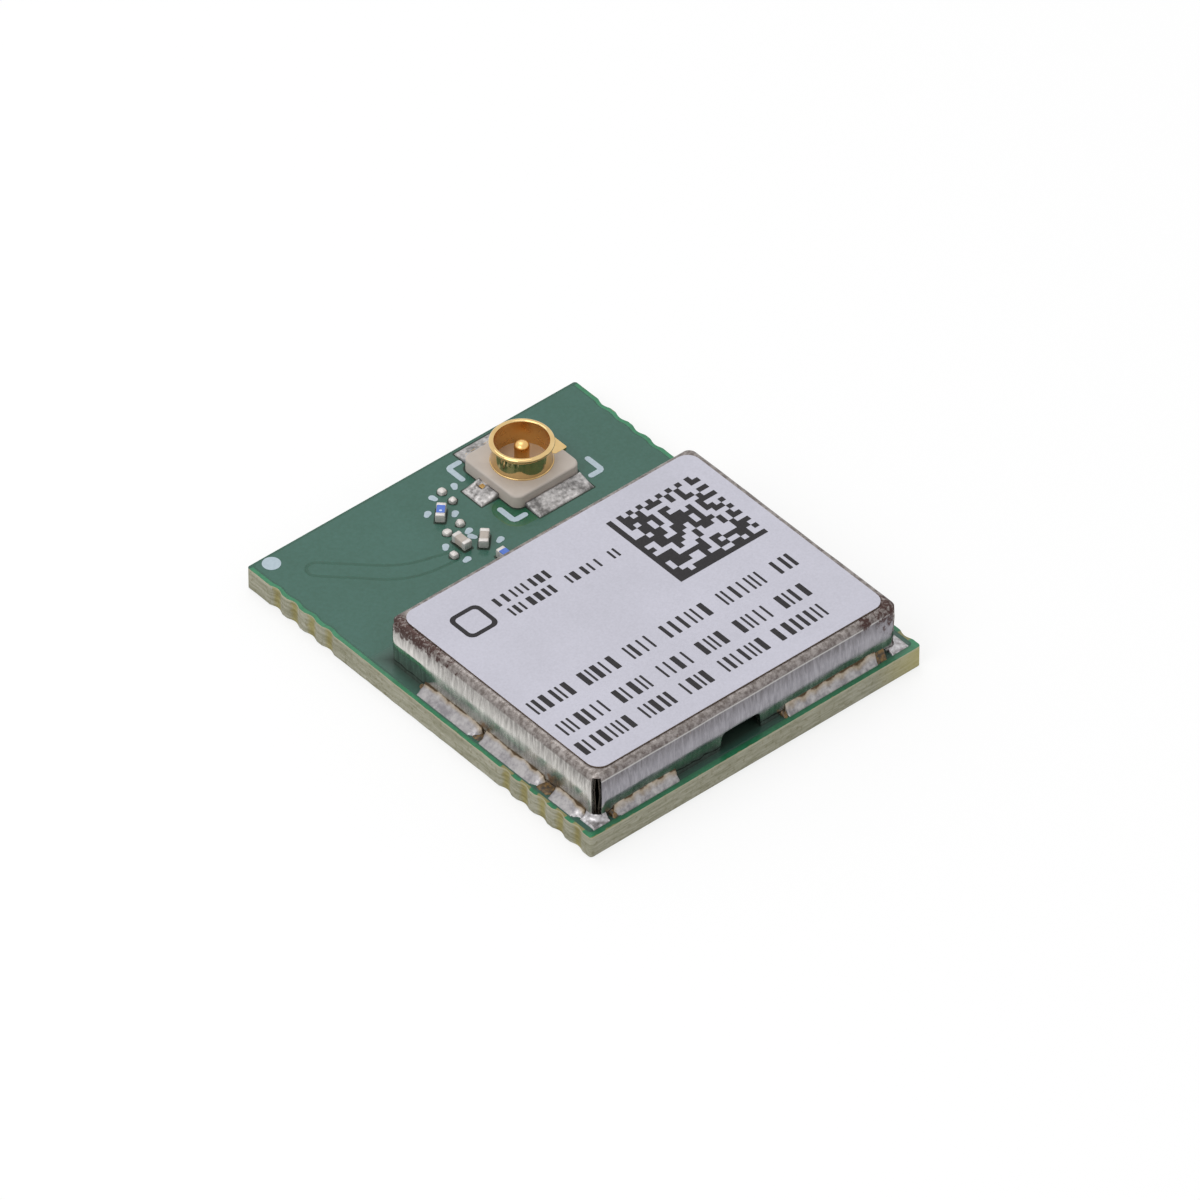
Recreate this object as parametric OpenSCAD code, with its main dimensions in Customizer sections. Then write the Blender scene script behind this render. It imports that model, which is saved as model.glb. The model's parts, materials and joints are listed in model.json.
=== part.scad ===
// Short-range radio module: a small circuit board with a soldered shield can, a coaxial
// antenna port and its matching parts, and rows of contact lands underneath.
// The origin is the middle of the board's underside. X runs along the short edges, Y along
// the long edges towards the antenna port, and Z up. All sizes are in millimetres.

/* [Board] */
// Thickness of the board
board_t = 0.8; // [0.6:0.1:1.6]
// Bare board in front of the shield can
front_margin = 0.4; // [0.35:0.05:1]
// Bare board on each side of the shield can
side_margin = 0.55; // [0.45:0.05:1.2]
// Board behind the shield can, which carries the antenna port
port_zone_l = 5.9; // [5.3:0.1:9]

/* [Break-off edges] */
// Diameter of the perforation drill
bite_d = 0.5; // [0.3:0.05:0.6]
// Depth of each half-hole in the edge
bite_depth = 0.13; // [0.05:0.01:0.14]
// Distance from one half-hole to the next
bite_pitch = 0.8; // [0.7:0.05:0.9]
// Half-holes in each group near the back edge
bite_back_count = 4; // [1:1:6]
// Half-holes in each group near the front edge
bite_front_count = 5; // [1:1:6]
// From the back edge to the first half-hole
bite_back_inset = 1.35; // [0.5:0.05:2]
// From the front edge to the first half-hole
bite_front_inset = 0.65; // [0.5:0.05:2]

/* [Contact lands] */
// Width of a land along the edge
land_w = 0.6; // [0.4:0.05:0.8]
// Length of a land inwards
land_l = 0.9; // [0.6:0.05:1.5]
// Thickness of the plated copper
land_t = 0.05; // [0.03:0.01:0.1]
// Distance from one land to the next
land_pitch = 1.1; // [1:0.05:1.6]
// From the board's edge to a land
land_edge_gap = 0.35; // [0.25:0.05:0.8]

/* [Shield can] */
// Size of the can along X
shield_w = 11.8; // [11:0.1:16]
// Size of the can along Y
shield_l = 9.4; // [8.8:0.1:12]
// Height of the can above the board
shield_h = 1.7; // [1.4:0.1:3]
// Thickness of the sheet metal
shield_t = 0.2; // [0.1:0.01:0.25]
// Outside radius of the upright corners
corner_r = 0.3; // [0.26:0.01:0.6]
// Outside radius of the bend round the top
bend_r = 0.22; // [0.1:0.01:0.25]
// Width of the open slit at each corner
slit_w = 0.28; // [0.1:0.01:0.3]
// Height of the closed rim above each slit
slit_rim_h = 0.1; // [0.08:0.01:0.6]
// Width of the window in the foot of the front and back walls
window_w = 1.5; // [0.8:0.1:2.2]
// Height of that window
window_h = 0.65; // [0.4:0.05:0.9]
// Radius of the window's upper corners
window_r = 0.2; // [0.1:0.05:0.3]
// From the middle of the wall to the middle of the window
window_x = -0.3; // [-0.8:0.1:0.8]

/* [Label] */
// Thickness of the label
label_t = 0.06; // [0.04:0.01:0.15]
// Radius of the label's corners
label_r = 0.45; // [0.2:0.05:1]
// Flat metal left bare round the label
label_clear = 0.03; // [0.02:0.01:0.5]

/* [Shield solder] */
// Bare board between a joint and the edge
joint_edge_gap = 0.18; // [0.05:0.01:0.25]
// Height that solder climbs up the side walls
side_climb = 0.3; // [0.1:0.01:0.4]
// Height that solder climbs up the front and back walls
end_climb = 0.4; // [0.1:0.01:0.5]
// Side of the square solder pads at the front corners
corner_pad_w = 0.63; // [0.5:0.01:0.8]
// Thickness of the solder on those pads
corner_pad_t = 0.07; // [0.03:0.01:0.15]
// Thickness of the solder at its outer edge
joint_toe = 0.04; // [0.02:0.01:0.08]
// Length of a full joint on a side wall
side_joint_l = 2.65; // [1.5:0.05:2.7]
// Length of the short joint next to the front corner
end_joint_l = 1.4; // [0.8:0.05:1.6]
// Length of the left joint on the front wall
front_left_joint_l = 2.4; // [1:0.1:3]
// Length of the right joint on the front wall
front_right_joint_l = 3.6; // [1:0.1:3.8]

/* [Antenna port] */
// From the board's right edge to the port's axis
port_side_gap = 3.88; // [3:0.01:4.4]
// From the board's back edge to the port's axis
port_back_gap = 2.06; // [1.85:0.01:2.4]
// Height of the port above the board
port_h = 1.25; // [1.1:0.05:2]
// Side of the square housing
housing_w = 2.6; // [2.4:0.05:2.8]
// Height of the housing
housing_h = 0.45; // [0.35:0.01:0.6]
// Radius of the housing's upright corners
housing_corner_r = 0.2; // [0.05:0.01:0.3]
// Bevel round the housing's top
housing_bevel = 0.07; // [0.02:0.01:0.12]
// From the housing's top down to the floor inside the ring
floor_drop = 0.05; // [0.02:0.01:0.08]
// Outside radius of the snap rim
rim_r = 1; // [0.95:0.01:1.1]
// Height of the snap rim
rim_h = 0.22; // [0.15:0.01:0.3]
// Depth of the neck below the rim
neck_depth = 0.05; // [0.04:0.01:0.1]
// Thickness of the ring's wall at the neck
shell_wall = 0.11; // [0.06:0.01:0.15]
// Height of the ring's flared base
base_h = 0.12; // [0.05:0.01:0.2]
// Thickness of the feet, the rear tab and the pin's tail
strip_t = 0.1; // [0.06:0.01:0.15]
// Width of the soldered feet
foot_w = 1.8; // [1:0.1:2]
// Length of a foot or the tail outside the housing
strip_out = 0.2; // [0.1:0.01:0.3]
// Width of the rear tab
tab_w = 0.92; // [0.5:0.02:1.2]
// Length of the rear tab outside the housing
tab_out = 0.1; // [0.05:0.01:0.2]
// Radius of the centre pin
pin_r = 0.21; // [0.15:0.01:0.3]
// From the rim's top down to the pin's nose
pin_drop = 0.09; // [0.05:0.01:0.4]
// Width of the pin's tail
tail_w = 0.5; // [0.3:0.05:0.8]

/* [Port solder] */
// Width of the two ground pads
ground_pad_w = 2.15; // [2.05:0.05:2.4]
// Reach of the front ground pad beyond the housing
ground_pad_out = 0.68; // [0.4:0.01:0.9]
// Width of the signal pad
signal_pad_w = 0.95; // [0.85:0.05:1.2]
// Reach of the signal pad beyond the housing
signal_pad_out = 0.69; // [0.4:0.01:0.8]
// Height of the solder against the housing
pad_climb = 0.17; // [0.16:0.01:0.3]
// Board left bare behind the back ground pad
pad_edge_gap = 0.15; // [0.05:0.01:0.2]

/* [Matching chips] */
// Length of a matching chip
chip_l = 0.6; // [0.5:0.05:0.7]
// Width of a matching chip
chip_w = 0.3; // [0.2:0.05:0.4]
// Height of a matching chip
chip_h = 0.3; // [0.2:0.05:0.5]
// Base radius of the solder on an unused pad
bump_r = 0.14; // [0.1:0.01:0.18]
// Height of the solder on an unused pad
bump_h = 0.12; // [0.05:0.01:0.13]

/* [Parts inside the can] */
// Side of the radio chip
radio_w = 6; // [4:0.1:6.4]
// Height of the radio chip
radio_h = 0.85; // [0.6:0.05:1]
// Side of the amplifier chip
amplifier_w = 3; // [2:0.1:3.2]
// Height of the amplifier chip
amplifier_h = 0.75; // [0.5:0.05:1]
// Distance between the terminals of both chips
terminal_pitch = 0.5; // [0.4:0.05:0.65]
// Width of a terminal
terminal_w = 0.25; // [0.15:0.01:0.3]
// Length of a terminal
terminal_l = 0.4; // [0.3:0.05:0.5]
// Thickness of the lead frame
lead_t = 0.2; // [0.1:0.01:0.25]
// Length of the crystal
crystal_l = 2.5; // [1.6:0.1:2.8]
// Width of the crystal
crystal_w = 2; // [1.2:0.1:2.2]
// Height of the crystal's ceramic base
crystal_base_h = 0.45; // [0.3:0.05:0.7]
// Thickness of the crystal's lid
crystal_lid_t = 0.1; // [0.05:0.01:0.2]
// Length of the supply inductor
supply_l = 1.6; // [1:0.1:2]
// Width of the supply inductor
supply_w = 0.8; // [0.5:0.1:1]
// Height of the supply inductor
supply_h = 0.8; // [0.5:0.1:1]
// Length of an inner capacitor
cap_l = 1; // [0.6:0.1:1.1]
// Width and height of an inner capacitor
cap_w = 0.5; // [0.3:0.05:0.6]
// Clear board between two parts
part_gap = 0.3; // [0.15:0.05:0.4]

/* [Hidden] */
$fn = 64;
// Extra depth of a cut, so that it passes clear through a face
past = 0.1;

board_w = shield_w + 2 * side_margin;
board_l = front_margin + shield_l + port_zone_l;
front_y = -board_l / 2;
back_y = board_l / 2;

shield_front_y = front_y + front_margin;
shield_y = shield_front_y + shield_l / 2;
inner_corner_r = max(corner_r - shield_t, 0.06);
inner_bend_r = max(bend_r - shield_t, 0.02);

side_reach = side_margin - joint_edge_gap;
front_reach = front_margin - joint_edge_gap;
back_reach = side_reach;
// Starts of the three joints on a side wall, from the front wall
side_joint_starts = [corner_pad_w - front_reach, 2.3, 5.1];
side_joint_lengths = [end_joint_l, side_joint_l, side_joint_l];
// From a corner of the can to the nearest joint on the front wall
front_left_joint_start = 0.7;
front_right_joint_start = 0.9;

port_x = board_w / 2 - port_side_gap;
port_y = back_y - port_back_gap;
neck_r = rim_r - neck_depth;
ring_inner_r = neck_r - shell_wall;
floor_h = housing_h - floor_drop;
strip_reach = housing_w / 2 + strip_out;
leg_w = 0.7;
// Round on the lip of the rim
lip_r = 0.06;
// Round on the pin's nose
nose_r = pin_r * 0.9;
back_pad_out = port_back_gap - housing_w / 2 - pad_edge_gap;

// Places of the matching parts, from the port's axis
inductor_1_at = [-3.18, 0.01];
inductor_2_at = [-2.97, -2.74];
capacitor_1_at = [-3.53, -1.37];
capacitor_2_at = [-2.94, -1.71];
bump_places = [[-2.45, 0.84], [-2.47, 0.32], [-2.96, -0.61], [-3.52, -0.67], [-4.02, -1.57]];

// Places of the parts inside the can, from the can's middle
radio_at = [-1.9, -0.9];
amplifier_at = [3.4, 1.6];
crystal_at = [3.4, -2.6];
row_y = radio_at.y + radio_w / 2 + part_gap + supply_w / 2;
column_x = radio_at.x + radio_w / 2 + part_gap + cap_w / 2;
supply_at = [radio_at.x - 1.6, row_y];
cap_row_start = supply_at.x + supply_l / 2 + part_gap + cap_l / 2;
cap_step = cap_l + part_gap;
column_start = radio_at.y - radio_w / 2 + cap_l / 2;
// Three capacitors in a row behind the radio chip, three in a column on its right
cap_places = [
    for (i = [0:2]) [cap_row_start + i * cap_step, row_y, 0],
    for (i = [0:2]) [column_x, column_start + i * cap_step, 90]
];

// A flat outline with round corners, centred on the origin
module round_outline(w, l, r) {
    square([w - 2 * r, l], center = true);
    square([w, l - 2 * r], center = true);
    for (x = [-1, 1], y = [-1, 1])
        translate([x * (w / 2 - r), y * (l / 2 - r)]) circle(r);
}

// Copies the children to the board's top, at a place given from another place
module on_board(from, at = [0, 0], turn = 0) {
    translate([from.x + at.x, from.y + at.y, board_t]) rotate(turn) children();
}

// Half-holes left by the perforated tabs along one long edge
module edge_bites() {
    for (i = [0:bite_back_count - 1]) bite(back_y - bite_back_inset - i * bite_pitch);
    for (i = [0:bite_front_count - 1]) bite(front_y + bite_front_inset + i * bite_pitch);
}

module bite(y) {
    translate([board_w / 2 + bite_d / 2 - bite_depth, y, -past])
        cylinder(d = bite_d, h = board_t + 2 * past);
}

// A row of lands along X, centred, with its outer ends at y = 0
module land_row(span) {
    count = floor((span - land_w) / land_pitch + 0.001) + 1;
    for (i = [0:count - 1])
        translate([(i - (count - 1) / 2) * land_pitch - land_w / 2, 0, 0])
            cube([land_w, land_l, land_t]);
}

module right_land_row() {
    translate([board_w / 2 - land_edge_gap, shield_y, 0]) rotate(90) land_row(shield_l);
}

module front_land_row() {
    translate([0, front_y + land_edge_gap, 0])
        land_row(board_w - 2 * (land_edge_gap + land_l + land_pitch - land_w));
}

module circuit_board() {
    color("seagreen") difference() {
        translate([-board_w / 2, front_y, 0]) cube([board_w, board_l, board_t]);
        for (side = [0, 1]) mirror([side, 0, 0]) {
            edge_bites();
            right_land_row();
        }
        front_land_row();
    }
}

module lands_left() { color("gold") mirror([1, 0, 0]) right_land_row(); }

module lands_right() { color("gold") right_land_row(); }

module lands_front() { color("gold") front_land_row(); }

// Half of the can's section: a wall whose top edge is bent over
module wall_outline(half, h, r) {
    square([half, h - r]);
    square([half - r, h]);
    translate([half - r, h - r]) intersection() {
        circle(r);
        square(r);
    }
}

module full_outline(half, h, r) {
    for (side = [0, 1]) mirror([side, 0]) wall_outline(half, h, r);
}

// A block with round upright corners and a rounded top edge
module can_block(w, l, h, upright_r, top_r) {
    for (x = [-1, 1], y = [-1, 1])
        translate([x * (w / 2 - upright_r), y * (l / 2 - upright_r), 0])
            rotate_extrude() wall_outline(upright_r, h, top_r);
    rotate([90, 0, 0]) linear_extrude(l - 2 * upright_r, center = true)
        full_outline(w / 2, h, top_r);
    rotate([90, 0, 90]) linear_extrude(w - 2 * upright_r, center = true)
        full_outline(l / 2, h, top_r);
}

// The slit that folding leaves open at a corner, cut along the corner's diagonal
module corner_slit() {
    cut = 2 * (corner_r + shield_t);
    rotate(45) translate([-cut / 2, -slit_w / 2, -past])
        cube([cut, slit_w, shield_h - slit_rim_h + past]);
}

// The window in the foot of a wall that lies along X
module foot_window() {
    rotate([90, 0, 0]) linear_extrude(4 * shield_t, center = true) {
        translate([-window_w / 2, -past]) square([window_w, window_h - window_r + past]);
        translate([-window_w / 2 + window_r, 0]) square([window_w - 2 * window_r, window_h]);
        for (x = [-1, 1])
            translate([x * (window_w / 2 - window_r), window_h - window_r]) circle(window_r);
    }
}

module shield_can() {
    color("silver") translate([0, shield_y, board_t]) difference() {
        can_block(shield_w, shield_l, shield_h, corner_r, bend_r);
        can_block(shield_w - 2 * shield_t, shield_l - 2 * shield_t, shield_h - shield_t,
                  inner_corner_r, inner_bend_r);
        translate([0, 0, -past])
            can_block(shield_w - 2 * shield_t, shield_l - 2 * shield_t, 4 * past,
                      inner_corner_r, inner_bend_r);
        for (x = [0, 1], y = [0, 1]) mirror([x, 0, 0]) mirror([0, y, 0])
            translate([shield_w / 2 - corner_r / 2, shield_l / 2 - corner_r / 2, 0]) corner_slit();
        for (y = [-1, 1]) translate([window_x, y * (shield_l - shield_t) / 2, 0]) foot_window();
    }
}

module shield_label() {
    color("lavender") translate([0, shield_y, board_t + shield_h]) linear_extrude(label_t)
        round_outline(shield_w - 2 * (bend_r + label_clear), shield_l - 2 * (bend_r + label_clear),
                      label_r);
}

// Section of a solder joint: the wall stands at x = 0 and the pad reaches out to +x
module fillet_outline(reach, climb, toe) {
    steps = 6;
    polygon(concat([[0, 0], [reach, 0]],
                   [for (i = [steps:-1:0]) [reach * i / steps,
                                            toe + (climb - toe) * pow(1 - i / steps, 2)]]));
}

// A joint along X against a wall at y = 0, reaching to -y, with rounded outer corners
module solder_joint(length, reach, climb, toe) {
    round_r = min(0.12, reach / 2);
    intersection() {
        rotate([90, 0, -90]) linear_extrude(length, center = true) fillet_outline(reach, climb, toe);
        linear_extrude(climb) {
            translate([-length / 2, -reach + round_r]) square([length, reach - round_r]);
            translate([-length / 2 + round_r, -reach]) square([length - 2 * round_r, reach]);
            for (x = [-1, 1])
                translate([x * (length / 2 - round_r), -reach + round_r]) circle(round_r);
        }
    }
}

module left_joints() {
    for (i = [0:len(side_joint_starts) - 1])
        translate([-shield_w / 2,
                   shield_front_y + side_joint_starts[i] + side_joint_lengths[i] / 2, board_t])
            rotate(-90) solder_joint(side_joint_lengths[i], side_reach, side_climb, joint_toe);
}

// The two joints of a wall along X, with the wall at y = 0
module end_wall_joints(reach) {
    translate([-shield_w / 2 + front_left_joint_start + front_left_joint_l / 2, 0, board_t])
        solder_joint(front_left_joint_l, reach, end_climb, joint_toe);
    translate([shield_w / 2 - front_right_joint_start - front_right_joint_l / 2, 0, board_t])
        solder_joint(front_right_joint_l, reach, end_climb, joint_toe);
}

module shield_solder_left() { color("gainsboro") left_joints(); }

module shield_solder_right() { color("gainsboro") mirror([1, 0, 0]) left_joints(); }

module shield_solder_front() {
    color("gainsboro") translate([0, shield_front_y, 0]) end_wall_joints(front_reach);
}

module shield_solder_back() {
    color("gainsboro") translate([0, shield_front_y + shield_l, 0]) mirror([0, 1, 0])
        end_wall_joints(back_reach);
}

// Square pads that the can's front corners stand on, cut to the can's outline
module shield_solder_corners() {
    pad_x = -shield_w / 2 - front_reach;
    color("gainsboro") translate([0, 0, board_t]) linear_extrude(corner_pad_t) difference() {
        for (side = [0, 1]) mirror([side, 0])
            translate([pad_x, shield_front_y - front_reach]) square(corner_pad_w);
        translate([0, shield_y]) round_outline(shield_w, shield_l, corner_r);
    }
}

// Section of the ring: a snap rim with a round lip, a neck and a flared base
module ring_outline() {
    polygon([[ring_inner_r, housing_h - strip_t], [neck_r, housing_h - strip_t],
             [neck_r, housing_h], [rim_r, housing_h], [neck_r, housing_h + base_h],
             [neck_r, port_h - rim_h - neck_depth], [rim_r, port_h - rim_h],
             [rim_r, port_h - lip_r], [rim_r - lip_r, port_h], [ring_inner_r, port_h]]);
    translate([rim_r - lip_r, port_h - lip_r]) circle(lip_r);
}

module shell_solid() {
    rotate_extrude() ring_outline();
    for (side = [0, 1]) mirror([0, side, 0]) {
        translate([-leg_w / 2, ring_inner_r, 0]) cube([leg_w, strip_t, housing_h]);
        translate([-foot_w / 2, ring_inner_r, 0])
            cube([foot_w, strip_reach - ring_inner_r, strip_t]);
    }
    translate([ring_inner_r, -tab_w / 2, housing_h - strip_t])
        cube([housing_w / 2 + tab_out - ring_inner_r, tab_w, strip_t]);
}

// The centre contact: a round pin on a square stem, with a flat tail
module pin_solid() {
    top = port_h - pin_drop;
    stem_w = sqrt(2) * pin_r;
    rotate_extrude() {
        translate([0, floor_h]) square([pin_r, top - nose_r - floor_h]);
        translate([0, top - nose_r]) square([pin_r - nose_r, nose_r]);
        translate([pin_r - nose_r, top - nose_r]) intersection() {
            circle(nose_r);
            square(nose_r);
        }
    }
    translate([-stem_w / 2, -stem_w / 2, 0]) cube([stem_w, stem_w, floor_h + nose_r]);
    translate([-strip_reach, -tail_w / 2, 0]) cube([strip_reach, tail_w, strip_t]);
}

// Upright section of the housing, with its top edges bevelled
module housing_section() {
    half = housing_w / 2;
    rotate([90, 0, 0]) linear_extrude(housing_w, center = true)
        polygon([[-half, 0], [half, 0], [half, housing_h - housing_bevel],
                 [half - housing_bevel, housing_h], [housing_bevel - half, housing_h],
                 [-half, housing_h - housing_bevel]]);
}

module coax_housing() {
    color("antiquewhite") on_board([port_x, port_y]) difference() {
        intersection() {
            linear_extrude(housing_h) round_outline(housing_w, housing_w, housing_corner_r);
            housing_section();
            rotate(90) housing_section();
        }
        translate([0, 0, floor_h]) cylinder(r = ring_inner_r, h = housing_h);
        shell_solid();
        pin_solid();
    }
}

module coax_shell() {
    color("goldenrod") on_board([port_x, port_y]) difference() {
        shell_solid();
        translate([0, 0, housing_h]) cylinder(r = ring_inner_r, h = port_h);
    }
}

module coax_pin() { color("gold") on_board([port_x, port_y]) pin_solid(); }

// Solder on one of the port's pads, formed round the metal strip that it holds
module port_joint(turn, width, out) {
    color("lightgray") on_board([port_x, port_y]) difference() {
        rotate(turn) translate([0, -housing_w / 2, 0]) solder_joint(width, out, pad_climb, joint_toe);
        shell_solid();
        pin_solid();
    }
}

module coax_solder_front() { port_joint(0, ground_pad_w, ground_pad_out); }

module coax_solder_back() { port_joint(180, ground_pad_w, back_pad_out); }

module coax_solder_signal() { port_joint(-90, signal_pad_w, signal_pad_out); }

// A chip part along X: a body between two slightly thicker terminals
module chip_part(l, w, h) {
    cap = l / 4;
    lip = w / 20;
    for (x = [-l / 2, l / 2 - cap]) translate([x, -w / 2, 0]) cube([cap, w, h]);
    translate([-l / 2 + cap / 2, -w / 2 + lip, lip]) cube([l - cap, w - 2 * lip, h - 2 * lip]);
}

module matching_chip(at, turn, tint) {
    color(tint) on_board([port_x, port_y], at, turn) chip_part(chip_l, chip_w, chip_h);
}

module chip_inductor_1() { matching_chip(inductor_1_at, 45, "royalblue"); }

module chip_inductor_2() { matching_chip(inductor_2_at, 90, "royalblue"); }

module chip_capacitor_1() { matching_chip(capacitor_1_at, 90, "rosybrown"); }

module chip_capacitor_2() { matching_chip(capacitor_2_at, 45, "rosybrown"); }

// Solder on the unused pads: low round caps
module spare_pad_solder() {
    cap_r = (bump_r * bump_r + bump_h * bump_h) / (2 * bump_h);
    color("gainsboro") for (at = bump_places) on_board([port_x, port_y], at) intersection() {
        translate([0, 0, bump_h - cap_r]) sphere(cap_r);
        translate([-bump_r, -bump_r, 0]) cube([2 * bump_r, 2 * bump_r, bump_h]);
    }
}

// Lead frame of a flat leadless chip: terminals on four sides and a heat pad
module leadframe(w) {
    count = floor((w - 2 * terminal_l - terminal_w) / terminal_pitch + 0.001) + 1;
    pad_w = w - 2 * terminal_l - 2 * part_gap;
    for (turn = [0:90:270]) rotate(turn) for (i = [0:count - 1])
        translate([(i - (count - 1) / 2) * terminal_pitch - terminal_w / 2, -w / 2, 0])
            cube([terminal_w, terminal_l, lead_t]);
    translate([-pad_w / 2, -pad_w / 2, 0]) cube([pad_w, pad_w, lead_t]);
}

// Moulded body of the same chip, with the lead frame set in its underside
module leadless_body(w, h) {
    difference() {
        translate([-w / 2, -w / 2, 0]) cube([w, w, h]);
        leadframe(w);
    }
}

module radio_chip() {
    color("dimgray") on_board([0, shield_y], radio_at) leadless_body(radio_w, radio_h);
}

module radio_chip_leadframe() {
    color("silver") on_board([0, shield_y], radio_at) leadframe(radio_w);
}

module amplifier_chip() {
    color("dimgray") on_board([0, shield_y], amplifier_at) leadless_body(amplifier_w, amplifier_h);
}

module amplifier_chip_leadframe() {
    color("silver") on_board([0, shield_y], amplifier_at) leadframe(amplifier_w);
}

module crystal_base() {
    color("tan") on_board([0, shield_y], crystal_at)
        linear_extrude(crystal_base_h) round_outline(crystal_l, crystal_w, 0.1);
}

module crystal_lid() {
    rim = 0.15;
    color("khaki") on_board([0, shield_y], crystal_at) translate([0, 0, crystal_base_h])
        linear_extrude(crystal_lid_t) round_outline(crystal_l - 2 * rim, crystal_w - 2 * rim, 0.1);
}

module supply_inductor() {
    color("slategray") on_board([0, shield_y], supply_at) chip_part(supply_l, supply_w, supply_h);
}

module inner_capacitor(i) {
    place = cap_places[i - 1];
    color("rosybrown") on_board([0, shield_y], place, place.z) chip_part(cap_l, cap_w, cap_w);
}

circuit_board();
lands_left();
lands_right();
lands_front();
shield_can();
shield_label();
shield_solder_left();
shield_solder_right();
shield_solder_front();
shield_solder_back();
shield_solder_corners();
coax_housing();
coax_shell();
coax_pin();
coax_solder_front();
coax_solder_back();
coax_solder_signal();
chip_inductor_1();
chip_inductor_2();
chip_capacitor_1();
chip_capacitor_2();
spare_pad_solder();
radio_chip();
radio_chip_leadframe();
amplifier_chip();
amplifier_chip_leadframe();
crystal_base();
crystal_lid();
supply_inductor();
inner_capacitor(1);  // inner_capacitor_1
inner_capacitor(2);  // inner_capacitor_2
inner_capacitor(3);  // inner_capacitor_3
inner_capacitor(4);  // inner_capacitor_4
inner_capacitor(5);  // inner_capacitor_5
inner_capacitor(6);  // inner_capacitor_6
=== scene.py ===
# %% [markdown]
# # A short-range radio module, dressed for its picture
# The solids already stand in one shared frame: a small circuit board, a soldered shield can, a
# coaxial antenna port and a handful of chips. This lesson puts finer meshes and real finishes over
# them. Lengths are written in millimetres and become metres once, when a mesh is made.

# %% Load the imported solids
import json
import math
import random
import bpy
import bmesh
from mathutils import Matrix, Vector, noise
from mathutils.geometry import delaunay_2d_cdt


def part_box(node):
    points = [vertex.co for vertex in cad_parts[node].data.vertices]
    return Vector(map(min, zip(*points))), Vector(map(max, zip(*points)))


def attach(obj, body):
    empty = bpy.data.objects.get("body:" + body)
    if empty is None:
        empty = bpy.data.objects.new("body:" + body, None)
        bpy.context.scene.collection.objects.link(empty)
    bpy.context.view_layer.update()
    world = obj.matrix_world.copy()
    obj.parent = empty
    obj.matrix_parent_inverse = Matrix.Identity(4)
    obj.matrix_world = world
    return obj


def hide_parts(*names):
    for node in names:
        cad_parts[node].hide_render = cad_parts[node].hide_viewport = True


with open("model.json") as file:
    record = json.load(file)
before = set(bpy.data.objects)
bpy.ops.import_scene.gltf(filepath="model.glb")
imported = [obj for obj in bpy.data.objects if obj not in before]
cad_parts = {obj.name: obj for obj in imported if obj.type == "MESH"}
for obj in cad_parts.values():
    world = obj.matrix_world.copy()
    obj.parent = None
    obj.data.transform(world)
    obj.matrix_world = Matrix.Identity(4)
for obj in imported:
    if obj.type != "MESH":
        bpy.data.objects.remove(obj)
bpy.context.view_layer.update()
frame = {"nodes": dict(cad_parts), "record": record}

MM = 0.001
scene = bpy.context.scene
scene.view_settings.view_transform = "Standard"


def box_mm(name):
    """Lowest and highest corner of a solid, in millimetres."""
    return tuple(Vector(corner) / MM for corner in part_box(name))


board_low, board_high = box_mm("circuit_board")
can_low, can_high = box_mm("shield_can")
port = Vector(next(m for m in frame["record"]["mounts"] if m["name"] == "antenna_port")["pos_m"]) / MM
print("board", [round(v, 2) for v in board_high - board_low], "mm, port axis at",
      [round(v, 2) for v in port.xy])

# %% [markdown]
# ## Camera
# The picture was taken with a long lens from the front left, 42 degrees above the table. A long lens
# hardly narrows the far edges, so the distance is fixed first and the focal length follows from the
# scale at the middle of the part: so many pixels of the square frame to a millimetre.

# %% Camera
azimuth, elevation, distance = math.radians(-40.757), math.radians(41.95), 450.0
shift_right, shift_up = 0.508, 0.769
pixels_per_mm, frame_pixels = 33.64, 1200
toward = Vector((math.sin(azimuth) * math.cos(elevation), -math.cos(azimuth) * math.cos(elevation),
                 math.sin(elevation)))
sideways = Vector((math.cos(azimuth), math.sin(azimuth), 0))
upward = toward.cross(sideways)
eye = (toward * distance + sideways * shift_right + upward * shift_up) * MM
lens = bpy.data.cameras.new("camera")
lens.sensor_width = 36
lens.lens = pixels_per_mm * distance / frame_pixels * lens.sensor_width
lens.clip_start = 0.02
camera = bpy.data.objects.new("camera", lens)
camera.matrix_world = Matrix.Translation(eye) @ Matrix((sideways, upward, toward)).transposed().to_4x4()
scene.collection.objects.link(camera)
scene.camera = camera
print("focal length", round(lens.lens), "mm")

# %% [markdown]
# ## Nodes and colours
# Every finish is a small network of nodes. One function adds a node, sets its options and fills or
# links its inputs, so that a finish reads from top to bottom. A node handed to another one's input is
# linked by its own result, the first output that its options leave switched on. Colours are written as
# they look on a screen, in hex, and the shader needs them linear. Pattern sizes are real sizes: a noise
# of scale 1 repeats about once a metre, so a grain of g millimetres needs a scale of 1000 / g.

# %% Node and colour helpers
def fill(tree, item, inputs):
    """Fills a node's inputs with values, or links them to other nodes and sockets."""
    for key, value in inputs.items():
        if isinstance(value, bpy.types.Node):
            value = next(output for output in value.outputs if output.enabled)
        if isinstance(value, bpy.types.NodeSocket):
            tree.links.new(value, item.inputs[key])
        else:
            item.inputs[key].default_value = value


def add(tree, kind, inputs=None, **settings):
    """Adds a node to a tree, sets its options, then fills or links its inputs."""
    item = tree.nodes.new(kind)
    for key, value in settings.items():
        setattr(item, key, value)
    fill(tree, item, inputs or {})
    return item


def srgb(code):
    """A hex colour as the eye sees it, turned into the linear values that a shader needs."""
    shares = [int(code[i:i + 2], 16) / 255 for i in (1, 3, 5)]
    return tuple(c / 12.92 if c <= 0.04045 else ((c + 0.055) / 1.055) ** 2.4 for c in shares) + (1.0,)


def per_mm(size):
    """Scale of a pattern whose grain is that many millimetres wide."""
    return 1 / (size * MM)


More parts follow.
